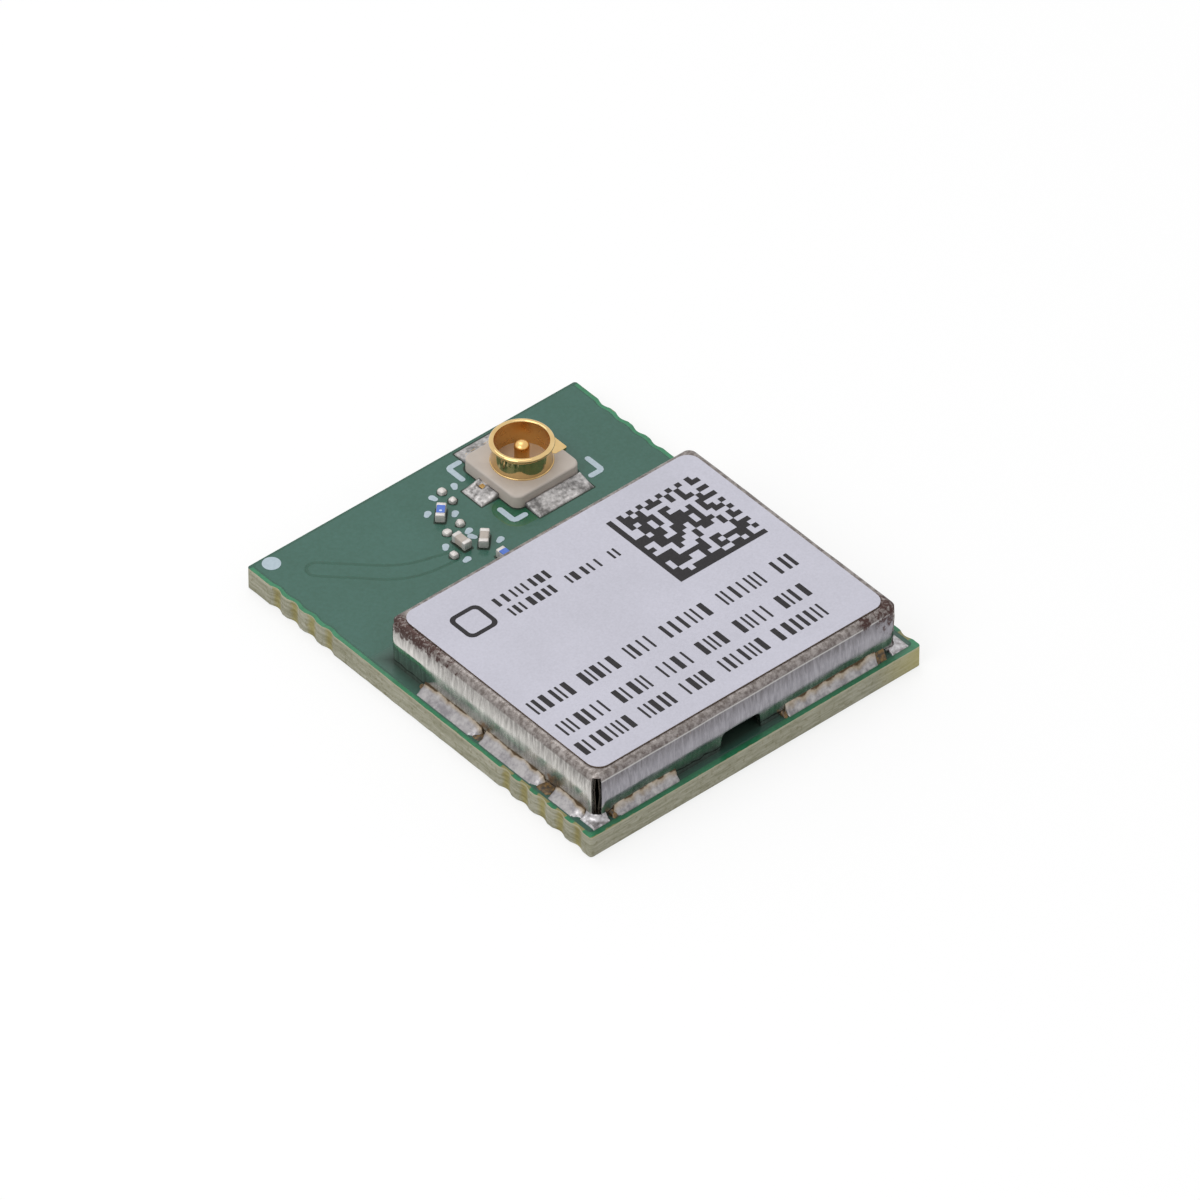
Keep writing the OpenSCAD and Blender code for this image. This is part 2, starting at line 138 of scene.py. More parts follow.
def new_finish(name):
    """A material, its tree, its main shader and the place on the piece."""
    material = bpy.data.materials.new(name)
    material.use_nodes = True
    tree = material.node_tree
    return material, tree, tree.nodes["Principled BSDF"], add(tree, "ShaderNodeTexCoord").outputs["Object"]


def off_can(tree, where):
    """How far a place lies outside the can's outline in plan, below zero under it."""
    middle, half = (can_low + can_high) / 2 * MM, (can_high - can_low) / 2 * MM
    centred = add(tree, "ShaderNodeVectorMath", {0: where, 1: middle}, operation="SUBTRACT")
    size = add(tree, "ShaderNodeVectorMath", {0: centred}, operation="ABSOLUTE")
    off = add(tree, "ShaderNodeVectorMath", {0: size, 1: half}, operation="SUBTRACT")
    off = add(tree, "ShaderNodeSeparateXYZ", {0: off})
    return add(tree, "ShaderNodeMath", {0: off.outputs["X"], 1: off.outputs["Y"]}, operation="MAXIMUM")


print("mid grey is", [round(c, 3) for c in srgb("#808080")[:3]], "in linear light")

# %% [markdown]
# ## Studio
# The part lies on a white sweep in soft light from all round, a little stronger from the left, as in
# a light tent. The sweep has to be white to the camera and to the metal that mirrors it, without
# pouring more light on the part, so the ray itself is asked what it is: camera, mirror and see-through
# rays see mostly plain white, and all others meet an ordinary white floor. A share of the ordinary
# floor stays in the mix, which keeps the shadow.

# %% Studio light and floor
def looking(tree):
    """Whether a ray is one that looks: from the camera, off a mirror or through a clear piece."""
    ray = add(tree, "ShaderNodeLightPath")
    seen = ray.outputs["Is Camera Ray"]
    for kind in ("Is Glossy Ray", "Is Transmission Ray"):
        seen = add(tree, "ShaderNodeMath", {0: seen, 1: ray.outputs[kind]}, operation="MAXIMUM")
    return seen


tent_light, share_of_white = 0.78, 0.72
world = bpy.data.worlds.new("light_tent")
world.use_nodes = True
scene.world = world
tree = world.node_tree
level = add(tree, "ShaderNodeMapRange", {"Value": looking(tree), "To Min": tent_light, "To Max": 1.0})
fill(tree, tree.nodes["Background"], {"Color": (1, 1, 1, 1), "Strength": level})

for name, spot, size, watts in (("window_left", (-0.16, -0.02, 0.17), 0.16, 0.16),
                                ("lamp_above", (0.03, 0.10, 0.22), 0.14, 0.10)):
    lamp = bpy.data.lights.new(name, "AREA")
    lamp.shape, lamp.size, lamp.energy = "DISK", size, watts
    holder = bpy.data.objects.new(name, lamp)
    holder.location = spot
    holder.rotation_euler = Vector(spot).to_track_quat("Z", "Y").to_euler()
    scene.collection.objects.link(holder)

# Matt paper gives the eye nothing but a soft shadow, on which the part rests.
sweep, tree, shader, where = new_finish("white_paper_sweep")
fill(tree, shader, {"Base Color": srgb("#f4f4f4"), "Roughness": 0.9})
share = add(tree, "ShaderNodeMath", {0: looking(tree), 1: share_of_white}, operation="MULTIPLY")
white = add(tree, "ShaderNodeEmission", {"Color": (1, 1, 1, 1), "Strength": 1.0})
mixed = add(tree, "ShaderNodeMixShader", {0: share, 1: shader, 2: white})
fill(tree, tree.nodes["Material Output"], {"Surface": mixed})
floor_mesh = bpy.data.meshes.new("floor")
reach, sweep_z = 0.8, -1e-5
corners = [(sx * reach, sy * reach, sweep_z) for sx, sy in ((-1, -1), (1, -1), (1, 1), (-1, 1))]
floor_mesh.from_pydata(corners, [], [(0, 1, 2, 3)])
floor_mesh.materials.append(sweep)
floor = bpy.data.objects.new("floor", floor_mesh)
scene.collection.objects.link(floor)
print("studio: 2 lamps, a white sky and a floor of", 2 * reach, "m")

# %% [markdown]
# ## Shapes from outlines
# Most pieces of a circuit module start as a flat outline: a label, a painted mark, a pad. A few small
# functions make outlines, stack them into closed skins and join skins into one piece. The piece's
# normals are turned outwards and only its true edges stay sharp.

# %% Outlines and skins
def round_rect(width, length, radius, middle=(0, 0), steps=8):
    """Corner-rounded rectangle, counter-clockwise."""
    outline = []
    for corner, (sx, sy) in enumerate(((1, 1), (-1, 1), (-1, -1), (1, -1))):
        for i in range(steps + 1):
            angle = math.radians(90 * corner + 90 * i / steps)
            outline.append((middle[0] + sx * (width / 2 - radius) + radius * math.cos(angle),
                            middle[1] + sy * (length / 2 - radius) + radius * math.sin(angle)))
    return outline


def ribbon(path, widths, steps=8):
    """Outline of a band with round ends along a path, with one width or a width at each point."""
    path = [Vector(p) for p in path]
    widths = widths if isinstance(widths, (list, tuple)) else [widths] * len(path)
    left, right = [], []
    for i, point in enumerate(path):
        before = (point - path[i - 1]).normalized() if i else None
        after = (path[i + 1] - point).normalized() if i + 1 < len(path) else None
        along = ((before or after) + (after or before)).normalized()
        across = Vector((-along.y, along.x))
        stretch = 1 / max(0.5, along.dot(after or before))
        left.append(point + across * widths[i] / 2 * stretch)
        right.append(point - across * widths[i] / 2 * stretch)

    def cap(middle, ahead, width):
        across = Vector((-ahead.y, ahead.x))
        return [middle + (ahead * math.cos(a) + across * math.sin(a)) * width / 2
                for a in (math.pi * (k / steps - 0.5) for k in range(1, steps))]
    outline = right + cap(path[-1], (path[-1] - path[-2]).normalized(), widths[-1])
    outline += left[::-1] + cap(path[0], (path[0] - path[1]).normalized(), widths[0])
    return [tuple(p) for p in outline]


def lift(outline, z):
    """A flat outline raised to some height."""
    return [(p[0], p[1], z) for p in outline]


def loft(rings):
    """Closed skin over a stack of rings that all have the same number of points."""
    count = len(rings[0])
    points = [p for ring in rings for p in ring]
    faces = [(i * count + j, i * count + (j + 1) % count, (i + 1) * count + (j + 1) % count,
              (i + 1) * count + j)
             for i in range(len(rings) - 1) for j in range(count)]
    return points, faces + [tuple(range(count))[::-1], tuple(range(len(points) - count, len(points)))]


def place(points, at=(0, 0, 0), turn=0):
    """Points turned about the upright axis by some degrees, then moved."""
    matrix = Matrix.Translation(at) @ Matrix.Rotation(math.radians(turn), 4, "Z")
    return [tuple(matrix @ Vector(p)) for p in points]


def gather(*skins):
    """Joins skins of (points, faces, material number) into one list of each."""
    points, faces, picks = [], [], []
    for some_points, some_faces, pick in skins:
        faces += [tuple(i + len(points) for i in face) for face in some_faces]
        picks += [pick] * len(some_faces) if isinstance(pick, int) else list(pick)
        points += list(some_points)
    return points, faces, picks


weld = 0.0002


def make_piece(name, skins, materials, sharp=35):
    """A mesh object from skins in millimetres, with outward normals and crisp edges."""
    points, faces, picks = gather(*skins)
    mesh = bpy.data.meshes.new(name)
    mesh.from_pydata([[c * MM for c in p] for p in points], [], faces)
    for material in materials:
        mesh.materials.append(material)
    mesh.polygons.foreach_set("material_index", picks)
    shape = bmesh.new()
    shape.from_mesh(mesh)
    bmesh.ops.remove_doubles(shape, verts=shape.verts, dist=weld * MM)
    bmesh.ops.recalc_face_normals(shape, faces=shape.faces)
    shape.to_mesh(mesh)
    shape.free()
    mesh.shade_smooth()
    mesh.set_sharp_from_angle(angle=math.radians(sharp))
    piece = bpy.data.objects.new(name, mesh)
    scene.collection.objects.link(piece)
    return piece


def hand_in(piece, slot, *nodes):
    """Rides the piece on the part and hides the solids that it stands for; slot is not used."""
    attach(piece, "root")
    if nodes:
        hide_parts(*nodes)
    print(f"{piece.name}: {len(piece.data.polygons)} faces", f"for {', '.join(nodes)}" if nodes else "")


print("a rounded rectangle has", len(round_rect(1, 1, 0.1)), "points")

# %% [markdown]
# ## Solder mask and laminate
# The board is woven glass in epoxy, about 0.8 mm thick. Its green is solder mask, a glossy lacquer.
# Over copper the lacquer looks grey-teal, because the metal under it scatters little; over bare laminate,
# round the rim, it is a clearer green, with painted light that stands in for light entering at the board's
# edge.
# The sawn and drilled sides show the glass itself: pale bundles of thread in olive resin. Each finish gets
# slow colour changes and a fine orange-peel bump, so that no stretch of it is one flat colour.

# %% Solder mask
# Gloss over a slow change of green gives the eye depth. Next to the can and under it, painted shade makes
# it dark, and the lacquer is duller there.
def mask_finish(name, dark, light, cloud_mm, roughness=0.2, shaded_by_can=True):
    """Lacquer over the board: colour clouds, speckle, an orange-peel surface, and painted shade round and
    under the can.
    """
    material, tree, shader, where = new_finish(name)
    cloud = add(tree, "ShaderNodeTexNoise", {"Vector": where, "Scale": per_mm(cloud_mm), "Detail": 4.0})
    speck = add(tree, "ShaderNodeTexNoise", {"Vector": where, "Scale": per_mm(0.12), "Detail": 3.0})
    blend = add(tree, "ShaderNodeMath", {0: cloud, 1: speck}, operation="ADD")
    blend = add(tree, "ShaderNodeMapRange", {"Value": blend, "From Min": 0.7, "From Max": 1.3})
    tint = add(tree, "ShaderNodeMix", {0: blend, 6: srgb(dark), 7: srgb(light)}, data_type="RGBA")
    fill(tree, shader, {"Roughness": roughness})
    if shaded_by_can:
        # Painted shade: the lacquer darkens towards the can's foot and is nearly black under the can.
        painted_shade = add(tree, "ShaderNodeMapRange", {"Value": off_can(tree, where), "From Min": -0.1 * MM,
                                                 "From Max": 0.5 * MM, "To Min": 1.0, "To Max": 0.0})
        tint = add(tree, "ShaderNodeMix", {0: painted_shade, 6: tint, 7: srgb("#0a2418")}, data_type="RGBA")
        dull = add(tree, "ShaderNodeMapRange", {"Value": painted_shade, "To Min": roughness, "To Max": 0.7})
        fill(tree, shader, {"Roughness": dull})
    peel = add(tree, "ShaderNodeTexNoise", {"Vector": where, "Scale": per_mm(0.3), "Detail": 2.0})
    bump = add(tree, "ShaderNodeBump", {"Height": peel, "Strength": 0.25, "Distance": 0.004 * MM})
    fill(tree, shader, {"Base Color": tint, "Normal": bump, "IOR": 1.55})
    return material


mask_on_copper = mask_finish("solder_mask_on_copper", "#265546", "#305e52", 2.2)
# Painted light: the lacquer over the bare rim is made a lighter green, as if lit through the board's edge.
mask_on_laminate_painted_light = mask_finish("solder_mask_on_laminate_painted_light", "#1c6a45", "#30815a", 0.8)
# Painted shade: a darker lacquer for the groove round the trace, the copper's step and the back edge.
mask_painted_shade_in_gap = mask_finish("solder_mask_painted_shade_in_copper_gap", "#0c4433", "#134e3d", 0.8, 0.5)
mask_over_window = mask_finish("solder_mask_over_copper_window", "#1a5038", "#235f45", 0.8)
mask_under = mask_finish("solder_mask_underside", "#245344", "#2f5f52", 2.2, shaded_by_can=False)
print("lacquer finishes:", mask_on_copper.name, mask_on_laminate_painted_light.name, mask_painted_shade_in_gap.name,
      mask_over_window.name)

# %% Glass-epoxy laminate
# The board's mesh will carry a value at each point that says how deep in a drilled half-hole it lies.
# Drilled glass is olive, and it is painted darker than sawn glass as shade deep in each half-hole; the value
# blends one into the other. To the eye the cut is dry and fibrous, paler along the top and with a yellow
# tinge towards the right end.
laminate, tree, shader, where = new_finish("cut_glass_epoxy")
layers = add(tree, "ShaderNodeMapping", {"Vector": where, "Scale": (0.16, 0.16, 1.6)})
weave = add(tree, "ShaderNodeTexNoise",
            {"Vector": layers, "Scale": per_mm(0.14), "Detail": 5.0, "Roughness": 0.65})
weave = add(tree, "ShaderNodeMapRange", {"Value": weave, "From Min": 0.36, "From Max": 0.66})
tint = add(tree, "ShaderNodeMix", {0: weave, 6: srgb("#7a7963"), 7: srgb("#9f9d8d")}, data_type="RGBA")
specks = add(tree, "ShaderNodeTexNoise", {"Vector": where, "Scale": per_mm(0.14), "Detail": 4.0})
brown = add(tree, "ShaderNodeMapRange",
            {"Value": specks, "From Min": 0.53, "From Max": 0.7, "To Max": 0.65})
tint = add(tree, "ShaderNodeMix", {0: brown, 6: tint, 7: srgb("#696446")}, data_type="RGBA")
axes = add(tree, "ShaderNodeSeparateXYZ", {0: where})
yellowed = add(tree, "ShaderNodeMapRange",
               {"Value": axes.outputs["X"], "From Min": 4.6 * MM, "From Max": 6.4 * MM, "To Max": 0.62})
tint = add(tree, "ShaderNodeMix", {0: yellowed, 6: tint, 7: srgb("#aaa05e")}, data_type="RGBA")
# Deep in each half-hole the glass turns olive and darker: olive resin, and painted shade of the hollow.
drilled = add(tree, "ShaderNodeAttribute", attribute_name="drilled")
soft = add(tree, "ShaderNodeMapRange", {"Value": specks, "To Min": -0.35, "To Max": 0.35})
drilled = add(tree, "ShaderNodeMath", {0: drilled.outputs["Fac"], 1: soft}, operation="ADD")
drilled = add(tree, "ShaderNodeMapRange",
              {"Value": drilled, "From Min": 0.35, "From Max": 0.95, "To Max": 0.9})
resin_and_hole_shade = add(tree, "ShaderNodeMix", {0: weave, 6: srgb("#706733"), 7: srgb("#928a55")}, data_type="RGBA")
tint = add(tree, "ShaderNodeMix", {0: drilled, 6: tint, 7: resin_and_hole_shade}, data_type="RGBA")
# Paler along the top of the sawn side.
paler_top = add(tree, "ShaderNodeMapRange",
           {"Value": axes.outputs["Z"], "From Min": 0.69 * MM, "From Max": 0.76 * MM, "To Max": 0.6})
tint = add(tree, "ShaderNodeMix", {0: paler_top, 6: tint, 7: srgb("#aaa58c")}, data_type="RGBA")
fuzz = add(tree, "ShaderNodeTexNoise", {"Vector": where, "Scale": per_mm(0.05), "Detail": 4.0})
bump = add(tree, "ShaderNodeBump", {"Height": fuzz, "Strength": 0.6, "Distance": 0.02 * MM})
fill(tree, shader, {"Base Color": tint, "Normal": bump, "Roughness": 0.75})
print("laminate finish:", laminate.name, "with", len(tree.nodes), "nodes")

# %% [markdown]
# ## The board
# The long edges were broken from a panel along rows of small drill holes, and half of each hole is
# still there. The top isn't flat either: the copper sheet stops short of the rim, so the lacquer steps
# down there, and one long trace shows as a raised band with a groove round it. Such a relief is easy
# to get wrong with a bump, so it is modelled: outlines of rim, copper and trace are triangulated
# together, and each outline has its own height.

# %% Outline of the board with its half-holes
# Breaking the board out has rounded the teeth, so each half-hole is drawn as a soft wave.
bite_half, bite_pitch, bite_steps, board_corner = 0.3, 0.8, 20, 0.1
near_start, near_depth, far_start, far_depth = 0.65, 0.08, 3.75, 0.075
saw_step, wander = 0.3, 0.015
near_bites = [(board_low.y + near_start + i * bite_pitch, near_depth) for i in range(5)]
far_bites = [(board_high.y - far_start + i * bite_pitch, far_depth) for i in range(4)]
dice = random.Random(7)


def bite_share(y):
    """How deep a place of a long edge lies in a half-hole: 0 outside, 1 in its middle."""
    t = min(abs(y - middle) for middle, depth in near_bites + far_bites) / bite_half
    return math.cos(math.pi / 2 * min(1.0, t)) ** 1.3


def sawn(start, end):
    """Places along a sawn stretch of the right edge, with the saw's small wander."""
    steps = max(1, round((end - start) / saw_step))
    return [(board_high.x - dice.uniform(0, wander), start + (end - start) * k / steps)
            for k in range(1, steps)]


def long_edge():
    """Right edge from front to back."""
    round_off = [(1 - math.cos(a), 1 - math.sin(a)) for a in (math.radians(90 * k / 4) for k in range(5))]
    edge = [(board_high.x - board_corner * s, board_low.y + board_corner * c) for c, s in round_off]
    for middle, depth in near_bites + far_bites:
        depth += dice.uniform(-wander, wander)
        edge += sawn(edge[-1][1], middle - bite_half)
        ys = [middle + bite_half * (2 * k / bite_steps - 1) for k in range(bite_steps + 1)]
        edge += [(board_high.x - depth * bite_share(y), y) for y in ys]
    edge += sawn(edge[-1][1], board_high.y - board_corner)
    return edge + [(board_high.x - board_corner * c, board_high.y - board_corner * s) for c, s in round_off]


rim = long_edge() + [(-x, y) for x, y in reversed(long_edge())]
print("rim of", len(rim), "points with", 2 * len(near_bites + far_bites), "half-holes")

# %% Lacquer chipped at the rim
# Sawing and breaking took some lacquer off along the rim, most of all at the near front corner and round
# the front half-holes, where only the teeth kept it. A ragged line of dull olive glass tells the eye that
# the green is only a skin. The glass is mixed in by the distance to the rim and to the half-holes.
tree = mask_on_laminate_painted_light.node_tree
shader = tree.nodes["Principled BSDF"]
where = add(tree, "ShaderNodeTexCoord").outputs["Object"]
spot = add(tree, "ShaderNodeSeparateXYZ", {0: where})
off_side = add(tree, "ShaderNodeMath", {0: spot.outputs["X"]}, operation="ABSOLUTE")
off_side = add(tree, "ShaderNodeMath", {0: board_high.x * MM, 1: off_side}, operation="SUBTRACT")
off_front = add(tree, "ShaderNodeMath", {0: spot.outputs["Y"], 1: board_low.y * MM}, operation="SUBTRACT")
broken = add(tree, "ShaderNodeMapRange", {"Value": spot.outputs["X"], "From Min": -4.0 * MM,
                                          "From Max": -6.0 * MM, "To Max": 0.035 * MM})
off_front = add(tree, "ShaderNodeMath", {0: off_front, 1: broken}, operation="SUBTRACT")
off_rim = add(tree, "ShaderNodeMath", {0: off_side, 1: off_front}, operation="MINIMUM")
off_rim = add(tree, "ShaderNodeMath", {0: off_rim, 1: -0.02 * MM}, operation="SUBTRACT")
centred = add(tree, "ShaderNodeMath", {0: spot.outputs["Y"], 1: near_bites[2][0] * MM},
              operation="SUBTRACT")
off_bite = add(tree, "ShaderNodeMath", {0: centred, 1: bite_pitch / 2 * MM}, operation="PINGPONG")
off_row = add(tree, "ShaderNodeMath", {0: centred}, operation="ABSOLUTE")
off_row = add(tree, "ShaderNodeMapRange", {"Value": off_row, "From Min": 1.95 * MM, "From Max": 2.05 * MM,
                                           "To Max": bite_pitch / 2 * MM})
off_bite = add(tree, "ShaderNodeMath", {0: off_bite, 1: off_row}, operation="MAXIMUM")
off_bite = add(tree, "ShaderNodeMath", {0: off_bite, 1: 0.22 * MM}, operation="SUBTRACT")
bare = add(tree, "ShaderNodeMath", {0: off_rim, 1: off_bite}, operation="MINIMUM")
crumbs = add(tree, "ShaderNodeTexNoise", {"Vector": where, "Scale": per_mm(0.22), "Detail": 4.0})
ragged = add(tree, "ShaderNodeMapRange",
             {"Value": crumbs, "From Min": 0.3, "From Max": 0.7, "To Min": -0.05 * MM, "To Max": 0.05 * MM})
bare = add(tree, "ShaderNodeMath", {0: bare, 1: ragged}, operation="ADD")
bare = add(tree, "ShaderNodeMapRange",
           {"Value": bare, "From Min": -0.02 * MM, "From Max": 0.02 * MM, "To Min": 0.9, "To Max": 0.0})
glass = add(tree, "ShaderNodeMix", {0: crumbs, 6: srgb("#6f6636"), 7: srgb("#a39a6c")}, data_type="RGBA")
lacquer = shader.inputs["Base Color"].links[0].from_socket
chipped = add(tree, "ShaderNodeMix", {0: bare, 6: lacquer, 7: glass}, data_type="RGBA")
fill(tree, shader, {"Base Color": chipped})
print("rim lacquer has", len(tree.nodes), "nodes")

# %% Relief of the board's top
top_z, rim_drop = board_high.z, 0.014
rim_z = top_z - rim_drop
copper_side, copper_front, copper_back, copper_corner = 0.14, 0.2, 0.05, 0.12
copper_slope, follow, edge_step = 0.05, 0.055, 0.1


def copper_edge(inset):
    """Outline of the copper sheet, which stops short of the rim and follows the far half-holes."""
    side, front, back = copper_side + inset, copper_front + inset, copper_back + inset
    length = board_high.y - board_low.y - front - back
    plain = round_rect(2 * (board_high.x - side), length, copper_corner,
                       (0, board_low.y + front + length / 2), 4)
    outline = []
    for a, b in zip(plain, plain[1:] + plain[:1]):
        outline.append(a)
        steps = round(abs(b[1] - a[1]) / edge_step)
        for y in (a[1] + (b[1] - a[1]) * k / steps for k in range(1, steps)):
            dent = follow * bite_share(y) if y > 0 else 0.0
            outline.append((a[0] - math.copysign(dent, a[0]), y))
    return outline


trace_path = [(-4.95, 6.42), (-4.4, 5.87), (-3.85, 5.32), (-3.45, 4.93), (-3.1, 4.68), (-2.7, 4.48),
              (-2.3, 4.36), (-1.9, 4.28), (-1.5, 4.2)]
trace_widths = [0.6, 0.6, 0.61, 0.62, 0.62, 0.6, 0.56, 0.5, 0.4]
groove, groove_depth = 0.06, 0.006
gap_mid, gap_depth = (1.37, 4.55), 0.004
loops = [
    (rim, rim_z),
    (copper_edge(0.0), rim_z),
    (copper_edge(copper_slope), top_z),
    (ribbon(trace_path, [w + 2 * groove for w in trace_widths]), top_z),
    (ribbon(trace_path, trace_widths), top_z - groove_depth),
    (ribbon(trace_path, [w - 2 * groove for w in trace_widths]), top_z),
    (round_rect(1.5, 1.4, 0.55, gap_mid, 6), top_z),
    (round_rect(1.42, 1.32, 0.52, gap_mid, 6), top_z - gap_depth),
]
flat, heights, ties = [], [], []
for outline, z in loops:
    start, count = len(flat), len(outline)
    flat += [Vector(p) for p in outline]
    heights += [z] * count
    ties += [(start + i, start + (i + 1) % count) for i in range(count)]
spots, _, triangles, origins, _, _ = delaunay_2d_cdt(flat, ties, [], 1, 1e-6)
top_points = [(s.x, s.y, heights[o[0]]) for s, o in zip(spots, origins)]
print("top relief:", len(triangles), "triangles")

# %% The board's skin
under_z, back_strip, drill_reach = 0.02, 0.1, 0.15


def inside(spot, outline):
    """Whether a spot lies inside an outline, by counting crossings."""
    hit = False
    for a, b in zip(outline, outline[1:] + outline[:1]):
        if (a[1] > spot[1]) != (b[1] > spot[1]):
            crossing = a[0] + (b[0] - a[0]) * (spot[1] - a[1]) / (b[1] - a[1])
            hit = hit != (spot[0] < crossing)
    return hit


def top_pick(spot):
    """Number of the lacquer at a spot: 0 on copper, 1 on laminate with painted light, 2 darker with painted
    shade in a groove, on the copper's step or at the back edge, 3 in the gap by the port.
    """
    within = [inside(spot, outline) for outline, z in loops]
    _, sheet, flat_copper, groove_out, _, groove_in, window, _ = within
    if window:
        return 3
    if flat_copper:
        return 2 if groove_out and not groove_in else 0
    return 2 if sheet or spot.y > board_high.y - back_strip else 1


top_faces, top_picks = [], []
for tri in triangles:
    spot = sum((spots[i] for i in tri), Vector((0, 0))) / 3
    if inside(spot, rim):
        top_faces.append(tuple(tri))
        top_picks.append(top_pick(spot))
count = len(rim)
side_faces = [(i, (i + 1) % count, count + (i + 1) % count, count + i) for i in range(count)]
board = make_piece("board", [(top_points, top_faces, top_picks),
                             (lift(rim, under_z) + lift(rim, rim_z), side_faces, 4),
                             (lift(rim, under_z), [tuple(range(count))[::-1]], 5)],
                   [mask_on_copper, mask_on_laminate_painted_light, mask_painted_shade_in_gap, mask_over_window, laminate, mask_under])
for face in board.data.polygons:
    face.use_smooth = face.material_index == 4
depths = board.data.attributes.new("drilled", "FLOAT", "POINT")
for corner, depth in zip(board.data.vertices, depths.data):
    depth.value = bite_share(corner.co.y / MM) if abs(corner.co.x) / MM > board_high.x - drill_reach else 0.0
hand_in(board, "board", "circuit_board")

# %% [markdown]
# ## Painted marks
# A pale ink is screened on the lacquer: a dot at one corner, three angle marks round the port and short
# ovals beside the chips. Ink is a film of about 0.01 mm, thick enough to catch a thin edge of light, so
# each mark is a thin plate with rounded ends.

# %% Screened ink
# Several finishes of this module are plain: a tone that wanders a little between two colours, over a grain
# of some size. One function makes them all. Ink is matt, so it stays pale where the gloss round it is dark.
def two_tone(name, dark, light, grain_mm, roughness, detail=4.0, metallic=0.0, shine=0.5, bumps=0.0):
    """A plain finish that wanders between two colours, flat or with bumps of the same grain."""
    material, tree, shader, where = new_finish(name)
    grain = add(tree, "ShaderNodeTexNoise", {"Vector": where, "Scale": per_mm(grain_mm), "Detail": detail})
    tint = add(tree, "ShaderNodeMix", {0: grain, 6: srgb(dark), 7: srgb(light)}, data_type="RGBA")
    fill(tree, shader,
         {"Base Color": tint, "Roughness": roughness, "Metallic": metallic, "Specular IOR Level": shine})
    if bumps:
        bump = add(tree, "ShaderNodeBump", {"Height": grain, "Strength": bumps, "Distance": 0.01 * MM})
        fill(tree, shader, {"Normal": bump})
    return material


ink = two_tone("screened_epoxy_ink", "#98a9b3", "#b4c3cc", 0.1, 0.55, detail=3.0)
print("ink finish:", ink.name)

# %% Marks
oval_half, oval_widths = 0.06, [0.17, 0.22]
dot_mid, dot_r = (-5.8, 7.48), 0.29
angle_path, angle_width = ((0.42, 0), (0.09, 0), (0.03, 0.03), (0, 0.09), (0, 0.65)), 0.19
ink_t, ink_sunk = 0.012, 0.005
ovals = [((0.56, 6.55), 60), ((-0.26, 6.55), 105), ((-0.87, 6.12), 30), ((-0.23, 5.6), 35),
         ((-0.42, 4.75), 20), ((-0.48, 4.48), 120), ((-1.41, 4.64), 45), ((-1.29, 3.81), 10),
         ((0.04, 3.84), 20)]
marks = []
for (x, y), turn in ovals:
    ahead = Vector((math.cos(math.radians(turn)), math.sin(math.radians(turn)))) * oval_half
    marks.append(ribbon([Vector((x, y)) - ahead, Vector((x, y)) + ahead], oval_widths))
marks.append([(dot_mid[0] + dot_r * math.cos(a), dot_mid[1] + dot_r * math.sin(a))
              for a in (math.tau * k / 32 for k in range(32))])
for (x, y), sx, sy in (((0.95, 7.3), 1, -1), ((0.93, 4.22), 1, 1), ((4.42, 4.26), -1, 1)):
    marks.append(ribbon([(x + sx * u, y + sy * v) for u, v in angle_path], angle_width))
skins = [loft([lift(m, top_z - ink_sunk), lift(m, top_z + ink_t)]) + (0,) for m in marks]
hand_in(make_piece("painted_marks", skins, [ink]), "label_film")

# %% [markdown]
# ## Shield can
# The can is one blank of tinned sheet, 0.2 mm thick, folded down on four sides. The folds leave a slit
# at each corner, and the front and back walls have a small window at the foot. A folded can is never
# a plain box: its bends are round, its walls are slightly wavy and barrelled, and the cut edges show the
# sheet's thickness. The barrel is only hundredths of a millimetre, but on a mirror it decides how far up
# the wall the green of the board shows. So the skin is laid out as a grid, stations round the can by rows
# up the wall and over the bend. Grid cells in a slit or window are left out, and every open edge is
# closed to an inner skin.

# %% Tinned steel sheet
# Tin over steel gives the eye a soft, slightly warm mirror with short upright streaks. The walls are painted
# darker under the bend in streaks, as shade and scuffs, and the front is painted greyer above its foot as
# shade.
# The stretched bend has a brown-grey mottle that is partly painted shade, with a painted highlight along the
# crease below it on the front. Dark tarnish full of bright flecks lies at two corners and along part of the
# left bend. Two amber smears and a thin burnt line mark the foot.
tinned_steel, tree, shader, where = new_finish("tinned_steel_sheet")
axes = add(tree, "ShaderNodeSeparateXYZ", {0: where})
upright = add(tree, "ShaderNodeMapping", {"Vector": where, "Scale": (1.0, 1.0, 0.16)})
streaks = add(tree, "ShaderNodeTexNoise", {"Vector": upright, "Scale": per_mm(0.11), "Detail": 5.0,
                                           "Roughness": 0.65, "Distortion": 0.5})
streaks = add(tree, "ShaderNodeMapRange", {"Value": streaks, "From Min": 0.28, "From Max": 0.72})
steel = add(tree, "ShaderNodeMix", {0: streaks, 6: srgb("#a4a19d"), 7: srgb("#e6e3de")}, data_type="RGBA")
# Painted shade: the front wall is greyer, most of all above its foot.
front_shade_steel = add(tree, "ShaderNodeMix", {0: streaks, 6: srgb("#7c7a80"), 7: srgb("#a2a0a6")},
                 data_type="RGBA")
front = add(tree, "ShaderNodeMapRange", {"Value": axes.outputs["Y"], "From Min": (can_low.y + 0.11) * MM,
                                         "From Max": (can_low.y + 0.03) * MM})
above_foot = add(tree, "ShaderNodeMapRange",
                 {"Value": axes.outputs["Z"], "From Min": 1.3 * MM, "From Max": 1.42 * MM, "To Min": 0.35})
front_shade = add(tree, "ShaderNodeMath", {0: front, 1: above_foot}, operation="MULTIPLY")
wall = add(tree, "ShaderNodeMix", {0: front_shade, 6: steel, 7: front_shade_steel}, data_type="RGBA")
